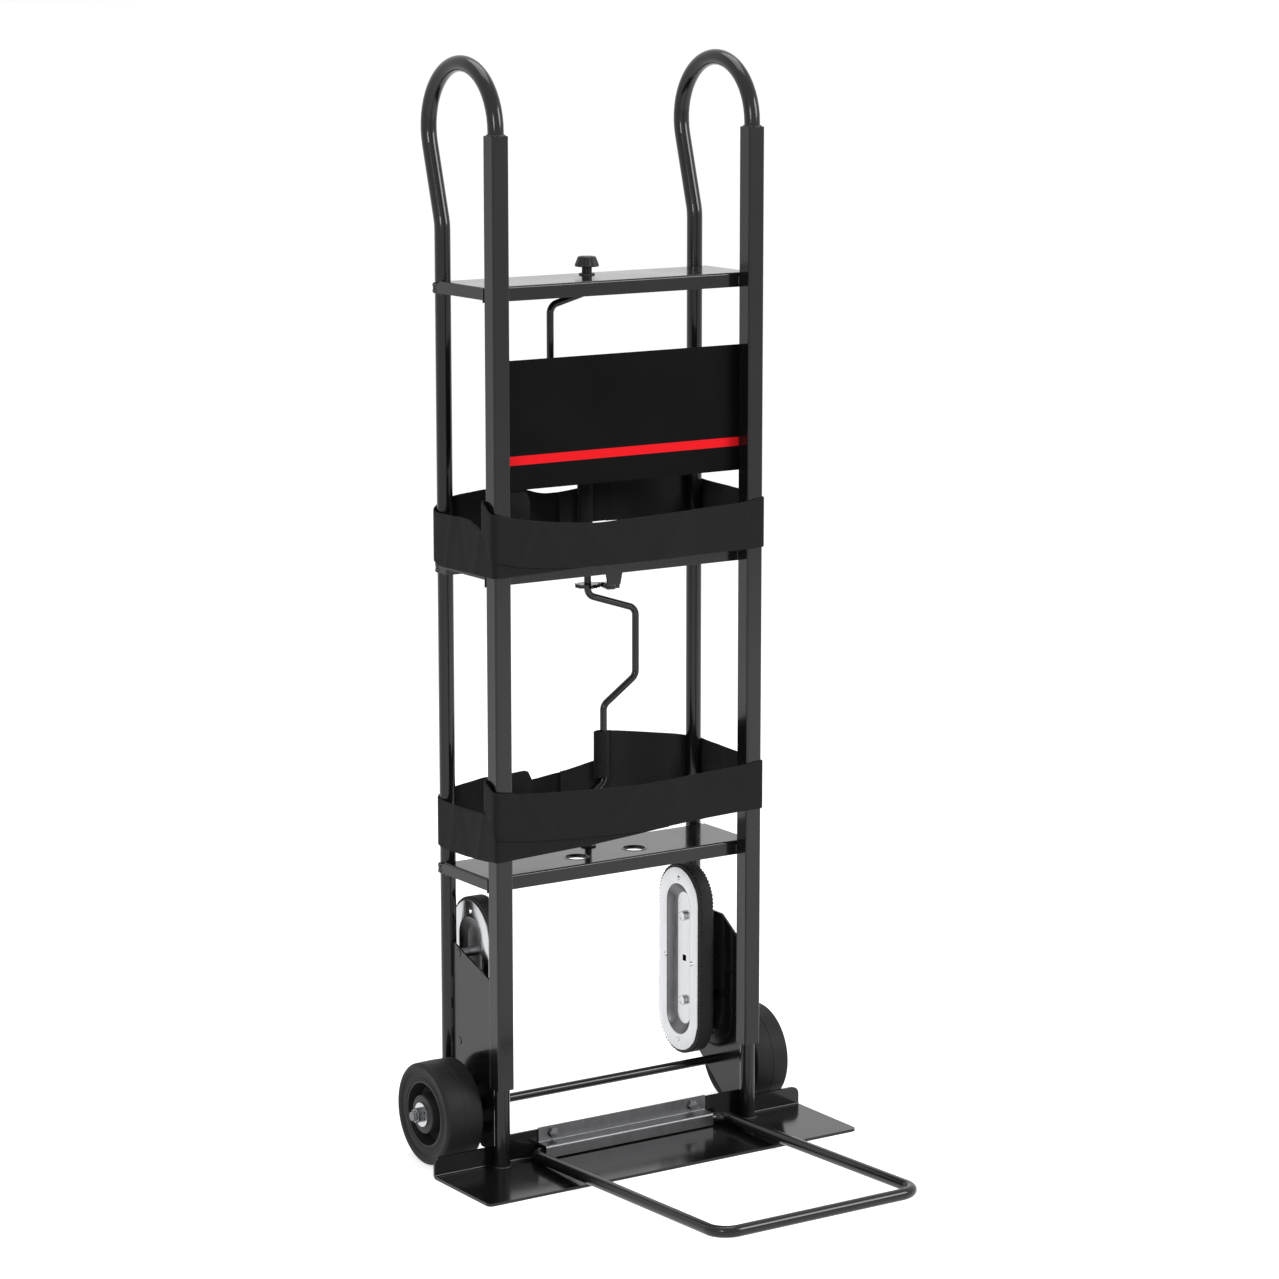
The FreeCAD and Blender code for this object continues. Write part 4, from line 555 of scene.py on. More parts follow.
def woven_polyester(colour, rib):
    """Woven polyester webbing: matt, with crossing ribs and a slightly fuzzy sheen."""
    made, tree, shader, where = shell("woven_polyester_webbing", {"Sheen Weight": 0.06, "Sheen Roughness": 0.5,
                                                                  "Specular IOR Level": 0.1})
    varied(tree, shader, where, (colour, lighter(colour, 0.008)), roughness=(0.8, 0.9), size=24, bump_size=2,
           bump_depth=0.05)
    uv = add_node(tree, "ShaderNodeUVMap", uv_map="weave")
    part = add_node(tree, "ShaderNodeSeparateXYZ", {"Vector": uv.outputs["UV"]})
    waves = []
    for axis, spacing in (("X", rib * 0.8), ("Y", rib)):
        phase = add_node(tree, "ShaderNodeMath", {0: part.outputs[axis], 1: TURN / spacing}, operation="MULTIPLY")
        waves.append(add_node(tree, "ShaderNodeMath", {0: phase.outputs[0]}, operation="SINE").outputs[0])
    weave = add_node(tree, "ShaderNodeMath", {0: waves[0], 1: waves[1]}, operation="MULTIPLY")
    grain = shader.inputs["Normal"].links[0].from_socket
    relief = add_node(tree, "ShaderNodeBump", {"Height": weave.outputs[0], "Strength": 1.0, "Distance": 0.25 * MM,
                                               "Normal": grain})
    tree.links.new(relief.outputs["Normal"], shader.inputs["Normal"])
    return made


def zinc_plate(name, colour, roughness, mottle, depth):
    """Zinc plate on steel: a metal whose grey clouds and fine rolling marks break up what it reflects."""
    made, tree, shader, where = shell(name, {"Metallic": 1.0})
    # The rolling marks are drawn out upright, to about three times their width.
    varied(tree, shader, where, (darker(colour, 0.7), colour), roughness, mottle, bump_size=1.2, bump_depth=depth,
           stretch=(1, 1, 0.35))
    return made


def moulded(name, colour, roughness, grain, depth):
    """Moulded rubber or plastic: dark and dull, with a fine grain from the mould."""
    made, tree, shader, where = shell(name, {"IOR": 1.5, "Specular IOR Level": 0.2})
    varied(tree, shader, where, (colour, lighter(colour, 0.008)), roughness, size=35, bump_size=grain,
           bump_depth=depth)
    return made


def make_finishes():
    """All the finishes: one per record slot, and a duller zinc for the hinge, also painted shade in pressed dishes."""
    strap, wheel, paint = (getattr(bpy.context.scene, name) for name, _ in GROUPS)
    rubber, plastic, zinc = tuple(wheel.rubber), tuple(wheel.plastic), tuple(paint.zinc)
    FINISHES["black_enamel"] = gloss_enamel(tuple(paint.enamel))
    FINISHES["panel_enamel"] = panel_enamel(tuple(paint.panel), tuple(paint.stripe))
    FINISHES["webbing"] = woven_polyester(tuple(strap.colour), strap.rib)
    # Colour, roughness from the smoothest to the roughest spot, size of the clouds and depth of the marks.
    # The duller zinc also serves as painted shade on the pressed dishes' walls.
    for slot, name, colour, roughness, mottle, depth in (
            ("zinc_plate", "bright_zinc_plate", zinc, (0.16, 0.3), 14, 0.012),
            ("dull_and_shaded_zinc", "dull_and_shaded_zinc_plate", darker(zinc, 0.3), (0.3, 0.46), 9, 0.04)):
        FINISHES[slot] = zinc_plate(name, colour, roughness, mottle, depth)
    # Colour, roughness, and size and depth of the grain.
    for slot, colour, roughness, grain, depth in (
            ("tyre_rubber", rubber, (0.5, 0.62), 1.6, 0.05),
            ("hub_plastic", plastic, (0.36, 0.46), 2.2, 0.03),
            ("belt_rubber", lighter(rubber, 0.027), (0.55, 0.7), 1.4, 0.06),
            ("track_plastic", lighter(plastic, 0.02), (0.4, 0.5), 2.2, 0.03),
            ("knob_plastic", plastic, (0.3, 0.4), 1.8, 0.03)):
        FINISHES[slot] = moulded("moulded_" + slot, colour, roughness, grain, depth)


# Operators, one for each piece or group of like pieces.

class HandTruckOperator:
    """What the operators share."""
    bl_options = {"REGISTER", "UNDO"}


class HANDTRUCK_OT_finish(HandTruckOperator, bpy.types.Operator):
    """Makes the finishes and puts them on the solid model's pieces"""
    bl_idname = "handtruck.finish"
    bl_label = "Paint the frame"

    def execute(self, context):
        make_finishes()
        finishes = {part["node"]: part["material_slot"] for part in frame["record"]["subparts"]}
        finishes["nose_hinge_bracket"] = "dull_and_shaded_zinc"
        for node, finish in finishes.items():
            mesh = NODES[node].data
            mesh.materials.clear()
            mesh.materials.append(FINISHES[finish])
        return {"FINISHED"}


class HANDTRUCK_OT_straps(HandTruckOperator, bpy.types.Operator):
    """Lays both straps round the posts, in two layers on the left, and sews their ends to the winder"""
    bl_idname = "handtruck.straps"
    bl_label = "Straps"

    def execute(self, context):
        sheet, finish = context.scene.truck_strap.sheet, FINISHES["webbing"]
        # Edges and folds of both layers, and the inner layer's distance from the rear leg and the rail.
        for name, outer, inner, folds, leg_gap, rail_gap in (
                ("upper", UPPER_OUTER, UPPER_INNER, UPPER_FOLDS, 2.6 * MM, 1.1 * MM),
                ("lower", LOWER_OUTER, LOWER_INNER, LOWER_FOLDS, SEAT, SEAT)):
            strap_pair(name, outer, inner, folds, leg_gap, rail_gap, sheet, finish)
        # The rod's sideways place there, the two tails, and the loop.
        for name, rod_x, tails, loop in (
                ("upper", 0.0, ((-42, 2, (853, 920), (858, 925)), (4, 42, (874, 941), (874, 941))), (874, 941)),
                ("lower", 26 * MM, ((-42, 24, (456, 523), (468, 535)), (26, 42, (490, 574), (486, 574))), (509, 576))):
            strap_sewn_end(name, rod_x, tails, loop, sheet, finish)
        return {"FINISHED"}


WHEEL_SEGMENTS = 128
TYRE_BORE = 47 * MM
# The hub's boss and web: the boss's radius, where the web begins and ends, and half of its thickness.
BOSS_RADIUS, WEB_START, WEB_END, WEB_HALF = 27 * MM, 29 * MM, 42 * MM, 5 * MM


class HANDTRUCK_OT_tyres(HandTruckOperator, bpy.types.Operator):
    """Turns the tyres: a crowned tread, rounded shoulders, and moulded rings in the sidewalls"""
    bl_idname = "handtruck.tyres"
    bl_label = "Tyres"

    def execute(self, context):
        wheel = context.scene.truck_wheel
        for side in SIDES:
            low, high = box_of("tyre_" + side)
            half, tread = (high[0] - low[0]) / 2, (high[2] - low[2]) / 2
            edge, hollow = tread - wheel.crown, half - wheel.groove
            # Corners of one half, from the bore to the tread's middle: radius, distance from the middle, and bend.
            lip = [(TYRE_BORE, half, 1 * MM), (TYRE_BORE + 3 * MM, half, 1.2 * MM)]
            dip = [(TYRE_BORE + 4 * MM, hollow, 1 * MM), (TYRE_BORE + 11 * MM, hollow, 2 * MM)]
            bulge = [(TYRE_BORE + 14 * MM, half + 1.2 * MM, 2 * MM), (edge - 5 * MM, half + 2 * MM, 3 * MM)]
            shoulder = [(edge, half - 0.6 * MM, 3 * MM), (tread, 2.6 * MM, 4 * MM)]
            mould_line = [(tread, 1.1 * MM, 0.3 * MM), (tread - 0.5 * MM, 0.5 * MM, 0.3 * MM)]
            profile = rounded(mirrored(lip + dip + bulge + shoulder + mould_line))
            band = ring(turned(profile, (low + high) / 2, "x", WHEEL_SEGMENTS))
            stand_in(f"tyre_moulded_{side}", [band], "tyre_rubber", "wheel_" + side, ["tyre_" + side])
        return {"FINISHED"}


class HANDTRUCK_OT_hubs(HandTruckOperator, bpy.types.Operator):
    """Turns the hubs: a broad boss with a rounded face, a thin web, and a rim with draft"""
    bl_idname = "handtruck.hubs"
    bl_label = "Hubs"

    def execute(self, context):
        for side in SIDES:
            low, high = box_of("hub_" + side)
            tyre_low, tyre_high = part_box("tyre_" + side)
            bush_low, bush_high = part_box("wheel_bush_" + side)
            face, lip = (high[0] - low[0]) / 2, (tyre_high[0] - tyre_low[0]) / 2 - 0.5 * MM
            outer, bore = (high[2] - low[2]) / 2, (bush_high[2] - bush_low[2]) / 2 + 0.2 * MM
            boss = [(bore, face, 0.4 * MM), (BOSS_RADIUS, face, 2 * MM)]
            web = [(WEB_START, WEB_HALF, 2 * MM), (WEB_END, WEB_HALF, 2 * MM)]
            rim = [(outer - 3 * MM, lip, 0.8 * MM), (outer, lip, 0.8 * MM)]
            band = ring(turned(rounded(mirrored(boss + web + rim)), (low + high) / 2, "x", WHEEL_SEGMENTS))
            stand_in(f"hub_moulded_{side}", [band], "hub_plastic", "wheel_" + side, ["hub_" + side])
        return {"FINISHED"}


# The belt's thickness, how far its lugs reach in from its edges, their inner feet, and points for each lug.
BELT_SHEET, LUG_REACH, LUG_FOOT, LUG_POINTS = 8 * MM, 3.4 * MM, 4.2 * MM, 6


class HANDTRUCK_OT_belts(HandTruckOperator, bpy.types.Operator):
    """Carries a notched rubber section round each stair climber's track"""
    bl_idname = "handtruck.belts"
    bl_label = "Stair climber belts"

    def execute(self, context):
        wheel = context.scene.truck_wheel
        for side in SIDES:
            low, high = box_of("climber_belt_" + side)
            centre, size = (low + high) / 2, high - low
            half, top = size[0] / 2, BELT_SHEET / 2
            radius, rise = size[1] / 2 - top, (size[2] - size[1]) / 2
            bend = math.pi * radius
            whole = 2 * bend + 4 * rise
            lugs = round(whole / wheel.lug_pitch)
            along = np.linspace(0, whole, lugs * LUG_POINTS, endpoint=False)
            # Four stretches of the slot shape: up the rear, over the top, down the front, round the foot.
            ends = np.array([2 * rise, 2 * rise + bend, 4 * rise + bend])
            stretch = np.searchsorted(ends, along, side="right")
            share = along - np.concatenate([[0], ends])[stretch]
            cases = [stretch == number for number in range(len(ends))]
            angle = np.select(cases, [0 * share, share / radius, 0 * share + math.pi], math.pi + share / radius)
            lift = np.select(cases, [share - rise, 0 * share + rise, rise - share], -rise)
            # The section: across the belt, and out from its middle line; its outer edges drop in the notches.
            lug, foot, dip = half - LUG_REACH, half - LUG_FOOT, top - 0.01 * MM
            corner = rounded([(-half, -top, 0.8 * MM), (half, -top, 0.8 * MM), (half, top, 1.2 * MM),
                              (lug, top, 0.2 * MM), (foot, dip, 0.2 * MM), (-foot, dip, 0.2 * MM),
                              (-lug, top, 0.2 * MM), (-half, top, 1.2 * MM)], 4)
            across, out = corner[None, :, 0], corner[None, :, 1]
            notch = (np.sin(TURN * along / whole * lugs) > 0)[:, None]
            edge = (np.abs(across) > (lug + foot) / 2) & (out > 0)
            reach = radius + out - wheel.lug_depth * (notch & edge)
            grid = np.stack([centre[0] + across + 0 * reach, centre[1] + reach * np.cos(angle)[:, None],
                             centre[2] + lift[:, None] + reach * np.sin(angle)[:, None]], axis=-1)
            stand_in(f"belt_notched_{side}", [ring(grid)], "belt_rubber", "frame", ["climber_belt_" + side])
        return {"FINISHED"}


# How far the ripples draw in a weld bead, and how many sides its section has.
RIPPLE_SHARE, BEAD_SIDES = 0.22, 12


def bead(path, half, ripple, closed=False):
    """A weld bead: a circle carried along a path of points, its radius rippled by the size of a sine."""
    following = np.roll(path, -1, axis=0) - np.roll(path, 1, axis=0)
    if not closed:
        following[0], following[-1] = path[1] - path[0], path[-1] - path[-2]
    tangent = following / np.linalg.norm(following, axis=1, keepdims=True)
    steps = np.linalg.norm(np.diff(path, axis=0, append=path[:1]), axis=1)
    along = np.cumsum(steps) - steps[0]
    whole = along[-1]
    reference = np.where(np.abs(tangent[:, 2:3]) > 0.7, np.array([[1.0, 0, 0]]), np.array([[0, 0, 1.0]]))
    first = np.cross(tangent, reference)
    first /= np.linalg.norm(first, axis=1, keepdims=True)
    second = np.cross(tangent, first)
    count = max(1, round(whole / ripple))
    radius = half * (1 - RIPPLE_SHARE + RIPPLE_SHARE * np.abs(np.sin(math.pi * count * along / whole)))
    if not closed:
        taper = np.minimum(along, whole - along) / (1.5 * half)
        radius = radius * np.sqrt(np.clip(taper, 0.04, 1))
    angle = np.linspace(0, TURN, BEAD_SIDES, endpoint=False)[None, :, None]
    grid = path[:, None] + radius[:, None, None] * (np.cos(angle) * first[:, None] + np.sin(angle) * second[:, None])
    return skin(grid, closed_rows=closed, closed_columns=True, caps=not closed)


def level_seam(x, radius, z, count=120):
    """Points of a level circle round a front leg."""
    angle = np.linspace(0, TURN, count, endpoint=False)
    return np.stack([x + radius * np.cos(angle), radius * np.sin(angle), np.full(count, z)], axis=1)


def upright_seam(x, y, start, end, count):
    """Points of an upright line."""
    return np.stack([np.full(count, x), np.full(count, y), np.linspace(start, end, count)], axis=1)


# Half widths of the weld beads other than those at the feet, and the stitches up the side plates' edges.
TOP_BEAD, PLATE_BEAD, SHELF_BEAD = 1.9 * MM, 1.8 * MM, 1.5 * MM
STITCH_STARTS, STITCH_LENGTH = (122 * MM, 170 * MM, 215 * MM), 32 * MM


class HANDTRUCK_OT_welds(HandTruckOperator, bpy.types.Operator):
    """Lays rippled weld beads at the feet and tops of the rails, along the side plates and at the shelves' ends"""
    bl_idname = "handtruck.welds"
    bl_label = "Welds"

    def execute(self, context):
        paint = context.scene.truck_paint
        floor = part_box("side_tube_right")[0][2]
        plate_low, plate_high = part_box("side_plate_right")
        skins = []
        for sign in SIDES.values():
            for gap, height, half in ((0.7 * MM, floor + 0.4 * MM, paint.bead), (0.6 * MM, RAIL_HIGH[2], TOP_BEAD)):
                seam = level_seam(sign * RAIL_X, TUBE_RADIUS + gap, height)
                skins.append(bead(seam, half, paint.ripple, closed=True))
            edges = [(face, y) for y in (plate_low[1], plate_high[1]) for face in (plate_low[0], plate_high[0])]
            for face, y in edges:
                for start in STITCH_STARTS:
                    seam = upright_seam(sign * face, y, start, start + STITCH_LENGTH, 60)
                    skins.append(bead(seam, PLATE_BEAD, paint.ripple))
            for name in ("top_shelf", "middle_shelf", "lower_shelf"):
                low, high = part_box(name)
                seam = upright_seam(sign * (RAIL_X - RAIL_HALF + 0.6 * MM), low[1], high[2] - 18 * MM,
                                    high[2] - 5 * MM, 30)
                skins.append(bead(seam, SHELF_BEAD, paint.ripple))
        piece("weld_beads", skins, FINISHES["black_enamel"], "frame", sharp=60)
        return {"FINISHED"}


# A chamfered hexagon: the shares of its height at which it is drawn, and its end cones' start, as a share of half the
# distance across the flats, and slope.
HEXAGON_STEPS, CONE_START, CONE_SLOPE = (0, 0.1, 0.22, 0.5, 0.78, 0.9, 1.0), 0.97, 1.7
# The 8 mm bolts: distance across the flats, from the middle to a corner, and the head's height.
BOLT_FLATS, BOLT_CORNER, BOLT_HEAD = 13 * MM, 13 * MM / math.sqrt(3), 5 * MM
# The axle's nuts: distance across the flats, thickness, and how deep inside them the drawn thread begins.
AXLE_FLATS, AXLE_NUT, AXLE_INSIDE = 19 * MM, 10 * MM, 6 * MM
# Threads: radius at the crest, radius at the root, and pitch.
BOLT_THREAD, AXLE_THREAD = (4 * MM, 3.5 * MM, 1.25 * MM), (6.95 * MM, 6.45 * MM, 1.95 * MM)


def hexagon(flats, height, axis, place, direction, segments=72):
    """A chamfered hexagon: at each angle the radius is the lesser of the flats' and of a cone at each end."""
    angle = np.linspace(0, TURN, segments, endpoint=False)[None, :]
    flat = flats / 2 / np.cos((angle + math.pi / 6) % (math.pi / 3) - math.pi / 6)
    rise = np.array(HEXAGON_STEPS)[:, None] * height
    cone = flats / 2 * CONE_START + np.minimum(rise, height - rise) * CONE_SLOPE
    return capped(about(axis, place, np.minimum(flat, cone), angle, direction * rise))


def threaded(thread, length, axis, place, direction, segments=36):
    """A threaded end: the radius follows a ridge that winds round once in each pitch, and tapers at the tip."""
    crest, root, pitch = thread
    angle = np.linspace(0, TURN, segments, endpoint=False)[None, :]
    rise = np.linspace(0, length, max(8, int(length / pitch * 6)))[:, None]
    ridge = np.abs(((rise / pitch - angle / TURN) % 1) * 2 - 1)
    taper = np.clip((length - rise) / (1.2 * pitch), 0, 1)
    return capped(about(axis, place, root + (crest - root) * ridge * taper, angle, direction * rise))


def hinge_fasteners():
    """The two bolts of the nose loop's hinge bracket, with their heads in front and their nuts behind."""
    low, high = box_of("hinge_bolts")
    nuts_low, nuts_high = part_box("hinge_nuts")
    height, spots = (low[2] + high[2]) / 2, (low[0] + BOLT_CORNER, high[0] - BOLT_CORNER)
    skins = []
    for x in spots:
        seat = (x, low[1] + BOLT_HEAD, height)
        skins.append(hexagon(BOLT_FLATS, BOLT_HEAD, "y", seat, -1))
        skins.append(threaded(BOLT_THREAD, high[1] - low[1] - BOLT_HEAD, "y", seat, 1))
    stand_in("hinge_bolts_chamfered", skins, "dull_and_shaded_zinc", "frame", ["hinge_bolts"])
    depth = nuts_high[1] - nuts_low[1] - 0.5 * MM
    skins = [hexagon(BOLT_FLATS, depth, "y", (x, nuts_low[1], height), 1) for x in spots]
    stand_in("hinge_nuts_chamfered", skins, "zinc_plate", "frame", ["hinge_nuts"])


def axle_fasteners():
    """The nuts at the axle's ends, and the thread that shows past them."""
    low, high = box_of("axle_nuts")
    y, z = (low[1] + high[1]) / 2, (low[2] + high[2]) / 2
    # The thread ends just past the solid axle, so that it covers it.
    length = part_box("axle")[1][0] - high[0] + AXLE_INSIDE + 0.2 * MM
    skins = []
    for sign in SIDES.values():
        skins.append(hexagon(AXLE_FLATS, AXLE_NUT, "x", (sign * (high[0] - AXLE_NUT), y, z), sign))
        skins.append(threaded(AXLE_THREAD, length, "x", (sign * (high[0] - AXLE_INSIDE), y, z), sign))
    stand_in("axle_nuts_chamfered", skins, "dull_and_shaded_zinc", "frame", ["axle_nuts"])


def climber_fasteners():
    """The stair climbers' bolts, heads in the dishes, and the flush ends that hold them on the side plates."""
    low, high = box_of("climber_bolts")
    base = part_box("climber_inner_plate_right")[0][0] + INNER_DISH
    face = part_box("side_plate_right")[1][0]
    y, bolts, ends = (low[1] + high[1]) / 2, [], []
    for sign in SIDES.values():
        rim, middle = sign * 0.9 * MM, 0.2 * MM
        button = rounded([(middle, 0, 0.01 * MM), (6 * MM, 0, 0.2 * MM), (5.4 * MM, rim, 0.4 * MM),
                          (middle, rim, 0.01 * MM)])
        for z in (low[2] + BOLT_CORNER, high[2] - BOLT_CORNER):
            seat = (sign * base, y, z)
            bolts.append(hexagon(BOLT_FLATS, BOLT_HEAD, "x", seat, -sign))
            bolts.append(threaded(BOLT_THREAD, face - base + 0.5 * MM, "x", seat, sign))
            ends.append(ring(turned(button, (sign * face, y, z), "x", 48)))
    stand_in("climber_bolts_chamfered", bolts, "zinc_plate", "frame", ["climber_bolts"])
    stand_in("climber_nuts_flush", ends, "black_enamel", "frame", ["climber_nuts"])


class HANDTRUCK_OT_fasteners(HandTruckOperator, bpy.types.Operator):
    """Makes chamfered, threaded bolts and nuts in place of the plain ones"""
    bl_idname = "handtruck.fasteners"
    bl_label = "Bolts and nuts"

    def execute(self, context):
        hinge_fasteners()
        axle_fasteners()
        climber_fasteners()
        return {"FINISHED"}


# The pressed dish: radius of its end arcs in millimetres and share of its depth, from the rim to the floor.
DISH_STEPS = ((30.8, 0.0), (29.6, 0.03), (28.8, 0.12), (25.6, 0.4), (21.5, 0.7), (17.0, 0.95), (15.6, 0.99),
              (14.0, 1.0))
# Depth of the inner and the outer plates' dishes, how much lower than the plate's its arcs' centres lie, the plates'
# thickness, the rounding of their edge, and half of the square hole's side.
INNER_DISH, OUTER_DISH, DISH_DROP = 11 * MM, 6 * MM, 4.6 * MM
PLATE_SHEET, PLATE_ROUND, HOLE_HALF = 2 * MM, 0.8 * MM, 4.5 * MM
# Points on each end arc and each straight, and the rings of both faces: three at the edge, the dish's, and the hole's.
ARC_POINTS, SIDE_POINTS = 33, 21
PLATE_POINTS, PLATE_RINGS = 2 * (ARC_POINTS + SIDE_POINTS), 2 * (len(DISH_STEPS) + 4)
# First ring of faces with painted shade, and the ends of the dish's wall and of its floor.
SHADE_START, WALL_END, FLOOR_END = 4, 9, 12


def pressed_plate(centre, low, high, depth, side):
    """A pressed plate: rings of one slot shape step from its rounded edge over the rim, down the dish, to a square
    hole.

    Each ring is half a circle, a straight, half a circle and a straight. The same rings, one sheet further in, make
    the back. The square hole's points lie on the same rays from the middle as those of the dish's floor.
    """
    width, tall = high[1] - low[1], high[2] - low[2]
    edge, rise = width / 2, (tall - width) / 2
    rings = [(edge, rise, PLATE_ROUND), (edge - 0.25 * MM, rise, 0.25 * MM), (edge - PLATE_ROUND, rise, 0.0)]
    rings += [(radius * MM, rise - DISH_DROP, share * depth) for radius, share in DISH_STEPS]
    turn = np.linspace(0, math.pi, ARC_POINTS)
    # The straights' points lie closer together near the middle, so that the square hole's sides get enough of them.
    lean = np.tan(np.radians(np.linspace(75, -75, SIDE_POINTS))) * rings[-1][0] / rings[-1][1]
    angle = np.concatenate([turn, 0 * lean + math.pi, turn + math.pi, 0 * lean + TURN])
    upper = np.concatenate([0 * turn + 1, lean, 0 * turn - 1, -lean])
    front = [np.stack([0 * angle + sink, radius * np.cos(angle), upper * lift + radius * np.sin(angle)], axis=1)
             for radius, lift, sink in rings]
    polar = np.arctan2(front[-1][:, 2], front[-1][:, 1])
    reach = HOLE_HALF / np.maximum(np.abs(np.cos(polar)), np.abs(np.sin(polar)))
    front.append(np.stack([0 * polar + depth, reach * np.cos(polar), reach * np.sin(polar)], axis=1))
    front = np.array(front)
    back = front[::-1] + (PLATE_SHEET, 0, 0)
    back[-1, :, 0] = PLATE_SHEET - PLATE_ROUND
    return ring(np.concatenate([front, back]) * (side, 1, 1) + centre)


class HANDTRUCK_OT_plates(HandTruckOperator, bpy.types.Operator):
    """Presses the stair climbers' plates, with a sloping dish in each"""
    bl_idname = "handtruck.plates"
    bl_label = "Stair climber plates"

    def execute(self, context):
        nodes, skins = [], []
        # The inner plates' dishes go outwards from their inner face, and the outer plates' inwards from the outer one.
        for layer, depth, pick, way in (("inner", INNER_DISH, min, 1), ("outer", OUTER_DISH, max, -1)):
            for label, sign in SIDES.items():
                nodes.append(f"climber_{layer}_plate_{label}")
                low, high = box_of(nodes[-1])
                centre = (low + high) / 2
                centre[0] = sign * pick(abs(low[0]), abs(high[0]))
                skins.append(pressed_plate(centre, low, high, depth, sign * way))
        made = stand_in("climber_plates_pressed", skins, "zinc_plate", "frame", nodes, sharp=40)
        # Painted shade: the dish's wall is darker, duller zinc than rim and floor; in the outer plates, the floor too.
        made.data.materials.append(FINISHES["dull_and_shaded_zinc"])
        number = np.arange(len(made.data.polygons)) // PLATE_POINTS
        step, plate = number % PLATE_RINGS, number // PLATE_RINGS
        painted_shade = (step >= SHADE_START) & (step < np.where(plate < len(SIDES), WALL_END, FLOOR_END))
        made.data.polygons.foreach_set("material_index", painted_shade.astype(np.int32))
        return {"FINISHED"}


# Side plates: the step round the front leg's foot, as its rear and its height; where the lower edge turns up, and its
# height at the rear; where the upper edge bends, and its height at the front; and the bends of the corners.
STEP_REAR, STEP_HEIGHT, LOWER_TURN, LOWER_REAR = 17.4 * MM, 42.2 * MM, 53 * MM, 81 * MM
UPPER_TURN, UPPER_FRONT = 65 * MM, 258 * MM
CUT_BEND, REAR_BEND, UPPER_BEND = 0.5 * MM, 3 * MM, 9 * MM
# Height of the upper edge at the rear and where it bends, on each side.
UPPER_EDGES = {"left": (298 * MM, 276 * MM), "right": (293 * MM, 292 * MM)}


class HANDTRUCK_OT_sides(HandTruckOperator, bpy.types.Operator):
    """Cuts the side plates: their upper edges fall to the front rails, level at first on the right"""
    bl_idname = "handtruck.sides"
    bl_label = "Side plates"

    def execute(self, context):
        skins = []
        for side, (back, crest) in UPPER_EDGES.items():
            low, high = box_of("side_plate_" + side)
            front, rear = low[1], high[1]
            edge = rounded([(front, STEP_HEIGHT, CUT_BEND), (STEP_REAR, STEP_HEIGHT, CUT_BEND),
                            (STEP_REAR, low[2], CUT_BEND), (LOWER_TURN, low[2], CUT_BEND),
                            (rear, LOWER_REAR, CUT_BEND), (rear, back, REAR_BEND), (UPPER_TURN, crest, UPPER_BEND),
                            (front, UPPER_FRONT, CUT_BEND)])
            grid = np.stack([np.column_stack([np.full(len(edge), x), edge]) for x in (low[0], high[0])])
            skins.append(capped(grid))
        stand_in("side_plates_cut", skins, "black_enamel", "frame", ["side_plate_left", "side_plate_right"])
        return {"FINISHED"}


# The lower shelf's holes: radius, and sideways and forward places. Their collars: half of the rim's width, depth, how
# far the rim stands above the shelf and reaches below its top, and the gap to the hole's wall.
HOLE_RADIUS, HOLE_SPOTS, HOLE_Y = 17 * MM, (-48 * MM, 48 * MM), 55 * MM
COLLAR_RIM, COLLAR_DEPTH, COLLAR_PROUD, COLLAR_UNDER, COLLAR_GAP = 1.6 * MM, 5 * MM, 0.5 * MM, 0.6 * MM, 0.1 * MM


class HANDTRUCK_OT_collars(HandTruckOperator, bpy.types.Operator):
    """Turns down a collar round each hole in the lower shelf"""
    bl_idname = "handtruck.collars"
    bl_label = "Hole collars"

    def execute(self, context):
        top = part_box("lower_shelf")[1][2]
        outer, inner, wall = HOLE_RADIUS + COLLAR_RIM, HOLE_RADIUS - COLLAR_RIM, HOLE_RADIUS - COLLAR_GAP
        profile = rounded([(outer, COLLAR_PROUD, 0.4 * MM), (inner, COLLAR_PROUD, 1.2 * MM),
                           (inner, -COLLAR_DEPTH, 0.4 * MM), (wall, -COLLAR_DEPTH, 0.4 * MM),
                           (wall, -COLLAR_UNDER, 0.3 * MM), (outer, -COLLAR_UNDER, 0.3 * MM)])
        skins = [ring(turned(profile, (x, HOLE_Y, top), "z", 64)) for x in HOLE_SPOTS]
        piece("shelf_hole_collars", skins, FINISHES["black_enamel"], "frame")
        return {"FINISHED"}


# The knob's neck and skirt: radius and height of each. Its flutes: number, depth as a share of the radius, and the
# radius outside which they show.
NECK_RADIUS, NECK_HEIGHT, SKIRT_RADIUS, SKIRT_HEIGHT = 7 * MM, 9 * MM, 17 * MM, 12.5 * MM
FLUTES, FLUTE_SHARE, FLUTE_START, KNOB_SEGMENTS = 18, 0.035, 11 * MM, 144


